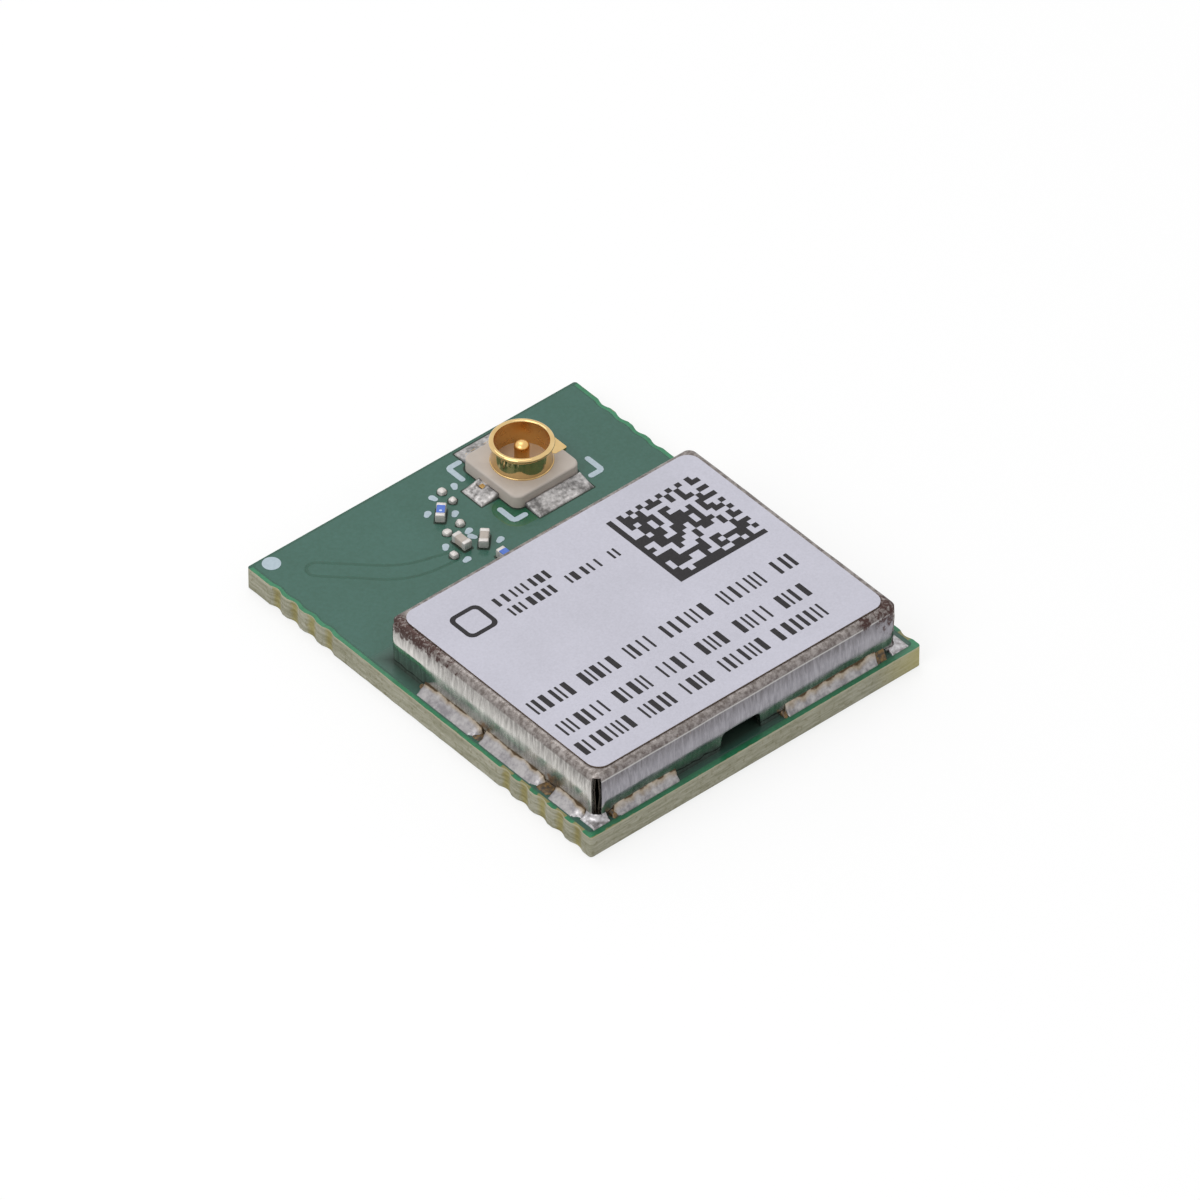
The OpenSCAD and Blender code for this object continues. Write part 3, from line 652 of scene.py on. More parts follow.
# Painted shade with scuffs: under the bend the walls darken in streaks.
upper = add(tree, "ShaderNodeMapRange",
            {"Value": axes.outputs["Z"], "From Min": 1.8 * MM, "From Max": 2.2 * MM})
scuffs_and_shade = add(tree, "ShaderNodeMapRange", {"Value": streaks, "To Min": 0.65, "To Max": 0.2})
scuffs_and_shade = add(tree, "ShaderNodeMath", {0: upper, 1: scuffs_and_shade}, operation="MULTIPLY")
wall = add(tree, "ShaderNodeMix", {0: scuffs_and_shade, 6: wall, 7: srgb("#4e4846")}, data_type="RGBA")
mottle = add(tree, "ShaderNodeTexNoise",
             {"Vector": where, "Scale": per_mm(0.16), "Detail": 5.0, "Roughness": 0.7})
mottle = add(tree, "ShaderNodeMapRange", {"Value": mottle, "From Min": 0.4, "From Max": 0.62})
# Tarnish mottle with painted shade: the bend is far darker than the walls, in place of its dimmer reflection.
bend_mottle_and_shade = add(tree, "ShaderNodeMix", {0: mottle, 6: srgb("#625955"), 7: srgb("#9c9592")}, data_type="RGBA")
on_bend = add(tree, "ShaderNodeMapRange",
              {"Value": axes.outputs["Z"], "From Min": 2.27 * MM, "From Max": 2.33 * MM, "To Max": 0.85})
sheet = add(tree, "ShaderNodeMix", {0: on_bend, 6: wall, 7: bend_mottle_and_shade}, data_type="RGBA")
# Painted highlight: a thin pale line along the crease at the foot of the bend, on the front.
crease_highlight = add(tree, "ShaderNodeMath", {0: axes.outputs["Z"], 1: 2.285 * MM}, operation="SUBTRACT")
crease_highlight = add(tree, "ShaderNodeMath", {0: crease_highlight}, operation="ABSOLUTE")
crease_highlight = add(tree, "ShaderNodeMapRange", {"Value": crease_highlight, "From Min": 0.008 * MM, "From Max": 0.038 * MM,
                                          "To Min": 0.45, "To Max": 0.0})
crease_highlight = add(tree, "ShaderNodeMath", {0: crease_highlight, 1: front}, operation="MULTIPLY")
sheet = add(tree, "ShaderNodeMix", {0: crease_highlight, 6: sheet, 7: srgb("#e2e0dd")}, data_type="RGBA")
left = add(tree, "ShaderNodeMapRange",
           {"Value": axes.outputs["X"], "From Min": -5.5 * MM, "From Max": -5.62 * MM})
far = add(tree, "ShaderNodeMapRange",
          {"Value": axes.outputs["Y"], "From Min": -3.6 * MM, "From Max": 1.2 * MM, "To Max": 0.49})
stained = add(tree, "ShaderNodeMath", {0: left, 1: far}, operation="MULTIPLY")
high_up = add(tree, "ShaderNodeMapRange",
              {"Value": axes.outputs["Z"], "From Min": 1.85 * MM, "From Max": 2.3 * MM})
stained = add(tree, "ShaderNodeMath", {0: stained, 1: high_up}, operation="MULTIPLY")
ball, post = (1, 1, 1), (1, 1, 0.1)
stains = (((can_low.x, can_high.y - 0.2, 2.45), ball, 1.0, 0.36),
          ((can_high.x, can_low.y, 2.5), ball, 1.7, 0.58),
          ((4.62, can_low.y + 0.05, 2.42), ball, 0.4, 0.75),
          ((can_high.x, can_low.y, 1.6), post, 0.5, 0.72))
for spot, stretch, radius, strength in stains:
    squeezed = add(tree, "ShaderNodeVectorMath", {0: where, 1: stretch}, operation="MULTIPLY")
    away = add(tree, "ShaderNodeVectorMath", {0: squeezed, 1: Vector(spot) * Vector(stretch) * MM},
               operation="DISTANCE")
    near = add(tree, "ShaderNodeMapRange",
               {"Value": away, "From Max": radius * MM, "To Min": strength, "To Max": 0.0})
    stained = add(tree, "ShaderNodeMath", {0: stained, 1: near}, operation="MAXIMUM")
drawn = add(tree, "ShaderNodeMapping", {"Vector": where, "Scale": (1.0, 1.0, 0.6)})
blotch = add(tree, "ShaderNodeTexNoise",
             {"Vector": drawn, "Scale": per_mm(0.17), "Detail": 4.0, "Roughness": 0.7})
tarnish = add(tree, "ShaderNodeMath", {0: stained, 1: blotch}, operation="ADD")
tarnish = add(tree, "ShaderNodeMapRange",
              {"Value": tarnish, "From Min": 0.8, "From Max": 0.9, "To Max": 0.92})
flecks = add(tree, "ShaderNodeTexNoise", {"Vector": where, "Scale": per_mm(0.09), "Detail": 3.0})
flecks = add(tree, "ShaderNodeMapRange",
             {"Value": flecks, "From Min": 0.38, "From Max": 0.47, "To Min": 0.35})
tarnish = add(tree, "ShaderNodeMath", {0: tarnish, 1: flecks}, operation="MULTIPLY")
tint = add(tree, "ShaderNodeMix", {0: tarnish, 6: sheet, 7: srgb("#44312e")}, data_type="RGBA")
for y in (can_low.y + 2.05, can_low.y + 5.0):
    away = add(tree, "ShaderNodeVectorMath", {0: where, 1: Vector((can_low.x, y, 1.17)) * MM},
               operation="DISTANCE")
    smear = add(tree, "ShaderNodeMapRange",
                {"Value": away, "From Max": 0.34 * MM, "To Min": 0.4, "To Max": 0.0})
    smear = add(tree, "ShaderNodeMath", {0: smear, 1: blotch}, operation="ADD")
    smear = add(tree, "ShaderNodeMapRange",
                {"Value": smear, "From Min": 0.68, "From Max": 0.88, "To Max": 0.75})
    tint = add(tree, "ShaderNodeMix", {0: smear, 6: tint, 7: srgb("#a87c4c")}, data_type="RGBA")
ragged = add(tree, "ShaderNodeTexNoise", {"Vector": where, "Scale": per_mm(0.5), "Detail": 4.0})
foot = add(tree, "ShaderNodeMapRange",
           {"Value": ragged, "From Min": 0.3, "From Max": 0.7, "To Min": -0.06 * MM, "To Max": 0.06 * MM})
foot = add(tree, "ShaderNodeMath", {0: axes.outputs["Z"], 1: foot}, operation="ADD")
burnt = add(tree, "ShaderNodeMath", {0: foot, 1: 0.97 * MM, 2: 0.025 * MM}, operation="COMPARE")
burnt = add(tree, "ShaderNodeMapRange", {"Value": burnt, "To Max": 0.75})
tint = add(tree, "ShaderNodeMix", {0: burnt, 6: tint, 7: srgb("#34231d")}, data_type="RGBA")
feather = add(tree, "ShaderNodeTexNoise", {"Vector": upright, "Scale": per_mm(0.22), "Detail": 4.0})
hazy = add(tree, "ShaderNodeMapRange", {"Value": axes.outputs["Y"], "From Min": -0.4 * MM,
                                        "From Max": 0.5 * MM, "To Min": 0.25, "To Max": 0.1})
hazy = add(tree, "ShaderNodeMix", {0: front, 2: hazy, 3: 0.17})
uneven = add(tree, "ShaderNodeMapRange",
             {"Value": ragged, "From Min": 0.35, "From Max": 0.65, "To Min": -0.05, "To Max": 0.05})
rough = add(tree, "ShaderNodeMath", {0: hazy, 1: uneven}, operation="ADD")
rough = add(tree, "ShaderNodeMix", {0: on_bend, 2: rough, 3: 0.5})
bump = add(tree, "ShaderNodeBump", {"Height": feather, "Strength": 0.08, "Distance": 0.01 * MM})
fill(tree, shader, {"Base Color": tint, "Roughness": rough, "Normal": bump, "Metallic": 1.0})

# Inside, the tin is painted dull dark brown as shade, which gives the slits and the window their depth.
inner_tin_shade = two_tone("inner_tin_painted_shade", "#352f28", "#5a5046", 0.5, 0.6)
print("sheet finishes:", tinned_steel.name, inner_tin_shade.name)

# %% Stations round the can and rows up the wall
sheet_t, corner_r, bend_r, slit_width = 0.2, 0.3, 0.22, 0.28
wall_step, corner_steps, bend_steps, hair = 0.1, 16, 10, 1e-4
slit_half = math.asin(slit_width / 2 / corner_r) + 0.02
window_x, window_top, window_r = (-1.05, 0.45), 1.45, 0.2
can_mid = (can_low + can_high) / 2
reach_x, reach_y = (can_high.x - can_low.x) / 2 - corner_r, (can_high.y - can_low.y) / 2 - corner_r


def along(reach, extra=()):
    """Evenly spaced places along a straight wall, with some places added."""
    count = round(2 * reach / wall_step)
    return sorted([-reach + 2 * reach * i / count for i in range(count + 1)] + list(extra))


window_steps = [math.radians(90 * k / 6) for k in range(7)]
window_extra = [window_x[0] + window_r * (1 - math.cos(a)) for a in window_steps]
window_extra += [window_x[1] - window_r * (1 - math.cos(a)) for a in window_steps]
stations = []
for side, (reach, span) in enumerate(((reach_y, reach_x), (reach_x, reach_y)) * 2):
    turn = Matrix.Rotation(math.radians(90 * side), 2)
    windowed = side % 2 == 0
    flip = 1 if side == 0 else -1
    for s in along(span, [flip * x for x in window_extra] if windowed else ()):
        spot, out = turn @ Vector((s, -reach - corner_r)), turn @ Vector((0, -1))
        x = spot.x + can_mid.x
        stations.append({"spot": spot, "bend": out, "wall": out, "slit": False,
                         "window": windowed and window_x[0] - hair < x < window_x[1] + hair})
    for k in range(1, corner_steps):
        swing = math.radians(90) * k / corner_steps
        off = swing - math.radians(45)
        out = turn @ Vector((math.sin(swing), -math.cos(swing)))
        wall = turn @ (Vector((0, -1)) if off < 0 else Vector((1, 0)))
        stations.append({"spot": turn @ Vector((span, -reach)) + out * corner_r, "bend": out, "wall": wall,
                         "slit": abs(off) < slit_half, "window": False})
wall_rows = [0.8, 0.95, 1.1, window_top - window_r, 1.5, 1.65, 1.85, 2.1]
window_row = wall_rows.index(window_top - window_r)
bend_rows = [math.radians(90 * k / bend_steps) for k in range(bend_steps + 1)]
print(len(stations), "stations,", len(wall_rows) + len(bend_rows), "rows")

# %% The can's two skins and their cut edges
# The front bulges more towards its left end, and the two sides bulge a little higher up.
bend_z = can_high.z - bend_r
front_bow, front_slant, front_bulge_z, front_fade = 0.053, 0.0034, 1.68, 0.58
side_bow, side_bulge_z, side_fade = 0.045, 1.85, 0.7
wave_height, wave_along, wave_up, wave_seed = 0.014, 0.9, 0.7, 5


def bow(spot, out, z):
    """How far a wall stands out at some height, fading along the round corners."""
    front = (front_bow - front_slant * spot.x) * max(0.0, -out.y) ** 8
    front *= max(0.0, 1 - abs(z - front_bulge_z) / front_fade)
    return front + side_bow * abs(out.x) ** 8 * max(0.0, 1 - abs(z - side_bulge_z) / side_fade)


def can_point(station, row, inner):
    """One point of the outer or the inner skin."""
    spot, swing = station["spot"], bend_rows[max(0, row - len(wall_rows))]
    radius = bend_r - sheet_t if inner else bend_r
    inset = bend_r - radius * math.cos(swing)
    out = station["wall"] if inner and not station["slit"] else station["bend"]
    z = wall_rows[row] if row < len(wall_rows) else bend_z + radius * math.sin(swing)
    if station["window"] and row <= window_row:
        x = spot.x + can_mid.x
        gap = max(0.0, window_r - min(x - window_x[0], window_x[1] - x))
        z = window_top - window_r + math.sqrt(max(0.0, window_r ** 2 - gap ** 2))
    place_on = spot - out * inset
    spread = Vector((spot.x * wave_along, spot.y * wave_along, z * wave_up + wave_seed))
    wave = noise.noise(spread) * wave_height
    place_on = place_on + out * (wave * math.cos(swing) + bow(spot, out, z))
    return place_on.x + can_mid.x, place_on.y + can_mid.y, z


rows, count = len(wall_rows) + len(bend_rows), len(stations)
slit_in_bend = 4
slit_row = len(wall_rows) + slit_in_bend
outer = [can_point(s, r, False) for r in range(rows) for s in stations]
inner = [can_point(s, r, True) for r in range(rows) for s in stations]
cells = []
for r in range(rows - 1):
    for j in range(count):
        k = (j + 1) % count
        a, b = stations[j], stations[k]
        in_window = a["window"] and b["window"] and r < window_row
        in_slit = a["slit"] and b["slit"] and r < slit_row
        if in_window or in_slit:
            continue
        cells.append((r * count + j, r * count + k, (r + 1) * count + k, (r + 1) * count + j))
edges = {(f[i], f[(i + 1) % 4]) for f in cells for i in range(4)}
top_start = (rows - 1) * count
open_edges = [e for e in edges if e[::-1] not in edges and not (e[0] >= top_start and e[1] >= top_start)]
shift = len(outer)
cut = [(b, a, a + shift, b + shift) for a, b in open_edges]
skin = cells + [tuple(i + shift for i in f[::-1]) for f in cells] + cut
skin += [tuple(range(top_start, top_start + count)),
         tuple(range(top_start + shift, top_start + count + shift))[::-1]]
picks = [0] * len(cells) + [1] * len(cells) + [0] * len(cut) + [0, 1]
can = make_piece("shield_can_folded", [(outer + inner, skin, picks)], [tinned_steel, inner_tin_shade], 50)
hand_in(can, "tinned_steel", "shield_can")

# %% [markdown]
# ## Label
# A printed film covers the top of the can. It is satin, so between bright metal and gloss lacquer it reads
# as one calm lilac grey. Its cut edge has gathered glue and dirt, which draws a thin brown line round it,
# so the side wall gets a finish of its own. The print is plain: rows of upright ticks, a frame mark and a
# square field of random cells, in a thermal black with so little shine that it stays dark from all sides.

# %% Film, its edge and the ink
film, tree, shader, where = new_finish("satin_label_film")
cloud = add(tree, "ShaderNodeTexNoise", {"Vector": where, "Scale": per_mm(3.0), "Detail": 3.0})
grain = add(tree, "ShaderNodeTexNoise", {"Vector": where, "Scale": per_mm(0.07), "Detail": 2.0})
blend = add(tree, "ShaderNodeMath", {0: cloud, 1: grain}, operation="ADD")
blend = add(tree, "ShaderNodeMapRange", {"Value": blend, "From Min": 0.7, "From Max": 1.3})
tint = add(tree, "ShaderNodeMix", {0: blend, 6: srgb("#b2b1bc"), 7: srgb("#bdbcc8")}, data_type="RGBA")
bump = add(tree, "ShaderNodeBump", {"Height": grain, "Strength": 0.2, "Distance": 0.004 * MM})
fill(tree, shader, {"Base Color": tint, "Normal": bump, "Roughness": 0.5})

glue_edge = two_tone("browned_label_edge", "#33271f", "#6b5847", 0.2, 0.6)
black_ink = two_tone("thermal_print_black", "#1e1c1e", "#343234", 0.06, 0.7, detail=3.0, shine=0.25)
print("label finishes:", film.name, glue_edge.name, black_ink.name)

# %% The film
label_low, label_high = box_mm("shield_label")
label_mid = ((label_low.x + label_high.x) / 2, (label_low.y + label_high.y) / 2)
label_w, label_l = label_high.x - label_low.x, label_high.y - label_low.y
label_corner, label_edge, label_sunk = 0.45, 0.012, 0.004


def label_ring(inset, z):
    """The label's outline at some height, drawn in a little where its edge rounds."""
    outline = round_rect(label_w - 2 * inset, label_l - 2 * inset, label_corner - inset, label_mid, 10)
    return lift(outline, z)


points, faces = loft([label_ring(0, can_high.z - label_sunk), label_ring(0, label_high.z - label_edge),
                      label_ring(label_edge, label_high.z)])
side = len(points) // 3
picks = [1] * side + [0] * side + [0, 0]
hand_in(make_piece("label", [(points, faces, picks)], [film, glue_edge], 30), "label_film", "shield_label")

# %% [markdown]
# The square field is one small tree of Geometry Nodes. A grid gives one point to a cell, and a cell is
# inked if it lies on the front or left edge, on every second place of the other two edges, or if a
# random draw with a fixed seed says so.

# %% Trees that grow pieces
def new_tree(name, sockets):
    """A Geometry Nodes tree with named inputs: the tree, the inputs' sockets and the output node."""
    tree = bpy.data.node_groups.new(name, "GeometryNodeTree")
    for label, kind in sockets.items():
        tree.interface.new_socket(label, in_out="INPUT", socket_type="NodeSocket" + kind)
    tree.interface.new_socket("Geometry", in_out="OUTPUT", socket_type="NodeSocketGeometry")
    return tree, add(tree, "NodeGroupInput").outputs, add(tree, "NodeGroupOutput")


def grow(name, tree, settings, spots=()):
    """Runs a tree over some spots, in millimetres, and keeps what it grows as a plain mesh."""
    base = bpy.data.meshes.new(name)
    base.from_pydata([[c * MM for c in s] for s in spots], [], [])
    piece = bpy.data.objects.new(name, base)
    scene.collection.objects.link(piece)
    modifier = piece.modifiers.new("grow", "NODES")
    modifier.node_group = tree
    for item in tree.interface.items_tree:
        if item.in_out == "INPUT" and item.socket_type != "NodeSocketGeometry":
            modifier[item.identifier] = settings[item.name]
    grown = piece.evaluated_get(bpy.context.evaluated_depsgraph_get())
    mesh = bpy.data.meshes.new_from_object(grown)
    piece.modifiers.clear()
    piece.data = mesh
    return piece


cell_tree, given, result = new_tree("cell_field", {"Cells": "Int", "Cell": "Float", "Thickness": "Float",
                                                   "Middle": "Vector", "Seed": "Int", "Ink": "Material"})
last = add(cell_tree, "ShaderNodeMath", {0: given["Cells"], 1: 1.0}, operation="SUBTRACT")
span = add(cell_tree, "ShaderNodeMath", {0: last, 1: given["Cell"]}, operation="MULTIPLY")
grid = add(cell_tree, "GeometryNodeMeshGrid",
           {"Size X": span, "Size Y": span, "Vertices X": given["Cells"], "Vertices Y": given["Cells"]})
spot = add(cell_tree, "ShaderNodeSeparateXYZ", {0: add(cell_tree, "GeometryNodeInputPosition")})
half = add(cell_tree, "ShaderNodeMath", {0: last, 1: 0.5}, operation="MULTIPLY")
numbers = []
for axis in ("X", "Y"):
    share = add(cell_tree, "ShaderNodeMath", {0: spot.outputs[axis], 1: span}, operation="DIVIDE")
    number = add(cell_tree, "ShaderNodeMath", {0: share, 1: last}, operation="MULTIPLY")
    number = add(cell_tree, "ShaderNodeMath", {0: number, 1: half}, operation="ADD")
    numbers.append(add(cell_tree, "ShaderNodeMath", {0: number}, operation="ROUND"))
low = add(cell_tree, "ShaderNodeMath", {0: numbers[0], 1: numbers[1]}, operation="MINIMUM")
high = add(cell_tree, "ShaderNodeMath", {0: numbers[0], 1: numbers[1]}, operation="MAXIMUM")
on_edge = add(cell_tree, "ShaderNodeMath", {0: low, 1: 0.5}, operation="LESS_THAN")
on_far = add(cell_tree, "ShaderNodeMath", {0: last, 1: high}, operation="SUBTRACT")
on_far = add(cell_tree, "ShaderNodeMath", {0: on_far, 1: 0.5}, operation="LESS_THAN")
both = add(cell_tree, "ShaderNodeMath", {0: numbers[0], 1: numbers[1]}, operation="ADD")
second = add(cell_tree, "ShaderNodeMath", {0: both, 1: 2.0}, operation="MODULO")
drawn = add(cell_tree, "FunctionNodeRandomValue", {"Probability": 0.5, "Seed": given["Seed"]},
            data_type="BOOLEAN")
free = add(cell_tree, "GeometryNodeSwitch", {"Switch": on_far, "False": drawn, "True": second},
           input_type="BOOLEAN")
inked = add(cell_tree, "FunctionNodeBooleanMath", {0: on_edge, 1: free}, operation="OR")
size = add(cell_tree, "ShaderNodeCombineXYZ",
           {"X": given["Cell"], "Y": given["Cell"], "Z": given["Thickness"]})
cell = add(cell_tree, "GeometryNodeMeshCube", {"Size": size})
field = add(cell_tree, "GeometryNodeInstanceOnPoints",
            {"Points": grid, "Selection": inked, "Instance": cell})
moved = add(cell_tree, "GeometryNodeTransform", {"Geometry": field, "Translation": given["Middle"]})
solid = add(cell_tree, "GeometryNodeRealizeInstances", {0: moved})
dyed = add(cell_tree, "GeometryNodeSetMaterial", {"Geometry": solid, "Material": given["Ink"]})
fill(cell_tree, result, {0: dyed})
print("tree", cell_tree.name, "has", len(cell_tree.nodes), "nodes")

# %% Print on the label
print_t, print_sunk = 0.006, 0.002
field_mid = Vector((3.33, -0.87, label_high.z))
field = grow("print_cells", cell_tree, {"Cells": 18, "Cell": 0.19 * MM, "Thickness": print_t * MM,
                                        "Middle": field_mid * MM, "Seed": 11, "Ink": black_ink})
hand_in(field, "label_film")

dice = random.Random(23)
tick_widths, tick_gaps, word_gap, tick_round = (0.08, 0.08, 0.13, 0.19), (0.11, 0.14, 0.2), 0.34, 0.02
mark_side, hole_side, mark_mid = 1.15, 0.85, (-4.16, 0.1)
tick_rows = ((-3.95, -5.37, 4.81, 0.62), (-5.2, -5.31, 4.31, 0.62), (-6.2, -5.45, 4.34, 0.6),
             (0.28, -3.17, -0.85, 0.4), (-0.32, -3.08, 1.3, 0.4))
ticks = []
for y, start, end, tall in tick_rows:
    x = start
    while x < end:
        for _ in range(dice.randint(4, 9)):
            wide = dice.choice(tick_widths)
            if x + wide > end:
                break
            ticks.append(round_rect(wide, tall, tick_round, (x + wide / 2, y), 2))
            x += wide + dice.choice(tick_gaps)
        x += word_gap
mark = round_rect(mark_side, mark_side, 0.25, mark_mid, 6)
hole = round_rect(hole_side, hole_side, 0.15, mark_mid, 6)
low_z, high_z = label_high.z - print_sunk, label_high.z + print_t / 2
frame_rings = [lift(mark, low_z), lift(mark, high_z), lift(hole, high_z), lift(hole, low_z)]
points, faces = loft(frame_rings + [frame_rings[0]])
skins = [loft([lift(t, low_z), lift(t, high_z)]) + (0,) for t in ticks] + [(points, faces[:-2], 0)]
hand_in(make_piece("print_ticks", skins, [black_ink]), "label_film")

# %% [markdown]
# ## Solder
# Melted solder creeps up the wall of the can and runs out on its pad, so each joint is a hollow slope
# with a thin rounded toe. Over a pad such a shape is just a height for each place, so every joint, pad
# and corner is a fine grid lifted by a small rule. Where the rule is below zero the grid dips under the
# lacquer, and that gives the joint its rounded outline in plan.

# %% Solder, flux and their grids
# Slow cooling leaves solder grainy: dull grey along the walls, brighter in the corner pools and mottled on
# the port's pads. Next to the can it carries a dark line of burnt flux and an amber bloom below it.
def solder_finish(name, dark, light, grain_mm, roughness, stain_and_shade=0.0):
    """Grainy solder, stained by a given share where it meets the can's walls."""
    material, tree, shader, where = new_finish(name)
    grain = add(tree, "ShaderNodeTexNoise",
                {"Vector": where, "Scale": per_mm(grain_mm), "Detail": 4.0, "Roughness": 0.6})
    cloud = add(tree, "ShaderNodeTexNoise", {"Vector": where, "Scale": per_mm(0.5), "Detail": 3.0})
    blend = add(tree, "ShaderNodeMath", {0: grain, 1: cloud}, operation="ADD")
    blend = add(tree, "ShaderNodeMapRange", {"Value": blend, "From Min": 0.78, "From Max": 1.22})
    tint = add(tree, "ShaderNodeMix", {0: blend, 6: srgb(dark), 7: srgb(light)}, data_type="RGBA")
    ragged = add(tree, "ShaderNodeMapRange", {"Value": cloud, "From Min": 0.3, "From Max": 0.7,
                                              "To Min": -0.05 * MM, "To Max": 0.05 * MM})
    away = add(tree, "ShaderNodeMath", {0: off_can(tree, where), 1: ragged}, operation="ADD")
    bloom = add(tree, "ShaderNodeMapRange", {"Value": away, "From Min": 0.03 * MM, "From Max": 0.12 * MM,
                                             "To Min": stain_and_shade * 0.5, "To Max": 0.0})
    tint = add(tree, "ShaderNodeMix", {0: bloom, 6: tint, 7: srgb("#a08753")}, data_type="RGBA")
    burnt = add(tree, "ShaderNodeMapRange", {"Value": away, "From Min": 0.01 * MM, "From Max": 0.035 * MM,
                                             "To Min": stain_and_shade, "To Max": 0.0})
    tint = add(tree, "ShaderNodeMix", {0: burnt, 6: tint, 7: srgb("#40301d")}, data_type="RGBA")
    rough = add(tree, "ShaderNodeMapRange",
                {"Value": blend, "To Min": roughness + 0.1, "To Max": roughness - 0.06})
    bump = add(tree, "ShaderNodeBump", {"Height": grain, "Strength": 0.3, "Distance": 0.01 * MM})
    fill(tree, shader, {"Base Color": tint, "Roughness": rough, "Normal": bump, "Metallic": 1.0})
    return material


solder = solder_finish("reflowed_solder", "#858285", "#aeabab", 0.12, 0.4, 0.9)
corner_solder = solder_finish("pooled_solder", "#7f7b7c", "#c9c7ca", 0.14, 0.38)
pad_solder = solder_finish("mottled_pad_solder", "#6e6c6b", "#bcb9b8", 0.13, 0.5)
# Set flux is glassy and brown, and it draws a dark rim round the bright solder.
flux, tree, shader, where = new_finish("amber_flux_residue")
cloud = add(tree, "ShaderNodeTexNoise", {"Vector": where, "Scale": per_mm(0.1), "Detail": 3.0})
cloud = add(tree, "ShaderNodeMapRange", {"Value": cloud, "From Min": 0.38, "From Max": 0.66})
tint = add(tree, "ShaderNodeMix", {0: cloud, 6: srgb("#2c210f"), 7: srgb("#735525")}, data_type="RGBA")
fill(tree, shader, {"Base Color": tint, "Roughness": 0.35})

lowest, base, outside = -0.03, 0.05, -0.02


def bed(x_span, y_span, height, cell):
    """A closed grid over a rectangle, lifted by a height rule. It rests just under the lacquer."""
    nx, ny = (max(2, round((span[1] - span[0]) / cell)) for span in (x_span, y_span))
    xs = [x_span[0] + (x_span[1] - x_span[0]) * i / nx for i in range(nx + 1)]
    ys = [y_span[0] + (y_span[1] - y_span[0]) * i / ny for i in range(ny + 1)]
    high = [(x, y, top_z + max(lowest, height(x, y))) for y in ys for x in xs]
    low = [(x, y, top_z - base) for y in ys for x in xs]
    w = nx + 1
    flat = [(j * w + i, j * w + i + 1, (j + 1) * w + i + 1, (j + 1) * w + i)
            for j in range(ny) for i in range(nx)]
    loop = list(range(w)) + [j * w + nx for j in range(1, ny + 1)]
    loop += [ny * w + i for i in range(nx - 1, -1, -1)] + [j * w for j in range(ny - 1, 0, -1)]
    n = len(high)
    skirt = [(a + n, b + n, b, a) for a, b in zip(loop, loop[1:] + loop[:1])]
    return high + low, flat + [tuple(i + n for i in f[::-1]) for f in flat] + skirt


def rough_at(x, y, size, seed=0.0):
    """Soft random value from -1 to 1 that changes over that many millimetres."""
    return noise.noise(Vector((x / size, y / size, seed)))


print("solder finishes:", solder.name, corner_solder.name, pad_solder.name, flux.name)

# %% Joints along the foot of the can
joint_cell, toe_height, ragged_by, pitted_by = 0.035, 0.024, 0.05, 0.004


def joint(span, reach, climb, wall, out_axis, tails, seed):
    """One joint along a wall: wall is (place, outward sign), and over its two tails the joint narrows."""
    length = span[1] - span[0]

    def height(x, y):
        along_it, off_it = (y, x) if out_axis == "x" else (x, y)
        s, o = along_it - span[0], (off_it - wall[0]) * wall[1]
        ragged = ragged_by * rough_at(s, o, 0.14, seed)
        tail = max(0.0, min(1.0, (s + ragged) / tails[0], (length - s + ragged) / tails[1]))
        full = math.sin(math.pi / 2 * tail)
        run = reach * (0.25 + 0.75 * full) * (1 + 0.04 * rough_at(s, seed, 0.6))
        t = max(0.0, o) / run
        if t > 1 or tail <= 0:
            return outside
        up = climb * min(1.0, 2.2 * full) * (0.96 + 0.06 * rough_at(s, seed + 3, 0.5))
        toe, slope = toe_height * math.sqrt(1 - t ** 4), up * (1 - t) ** 1.3
        return toe + slope + pitted_by * rough_at(x, y, 0.1, seed)
    across = sorted((wall[0] - wall[1] * 0.1, wall[0] + wall[1] * reach * 1.05))
    spans = (across, span) if out_axis == "x" else (span, across)
    return bed(*spans, height, joint_cell)


side_spans = [(can_low.y + a, can_low.y + b) for a, b in ((0.41, 1.81), (2.22, 4.95), (5.02, 7.75))]
side_size, side_tails, back_tails = (0.37, 0.27), (0.4, 0.09), (0.2, 0.2)
front_size, back_size = (0.22, 0.35), (0.37, 0.4)
end_spans = [((-5.3, -2.8), (0.3, 0.06)), ((1.4, 5.0), (0.05, 0.1))]
rows_of_joints = {
    "shield_solder_left": [(s, *side_size, (can_low.x, -1), "x", side_tails) for s in side_spans],
    "shield_solder_right": [(s, *side_size, (can_high.x, 1), "x", side_tails) for s in side_spans],
    "shield_solder_front": [(s, *front_size, (can_low.y, -1), "y", tails) for s, tails in end_spans],
    "shield_solder_back": [(s, *back_size, (can_high.y, 1), "y", back_tails) for s, tails in end_spans],
}
for number, (node, joints) in enumerate(rows_of_joints.items()):
    skins = [joint(*j, seed=10 * number + i) + (0,) for i, j in enumerate(joints)]
    hand_in(make_piece(node.replace("shield", "wall") + "_joints", skins, [solder], 60), "solder", node)

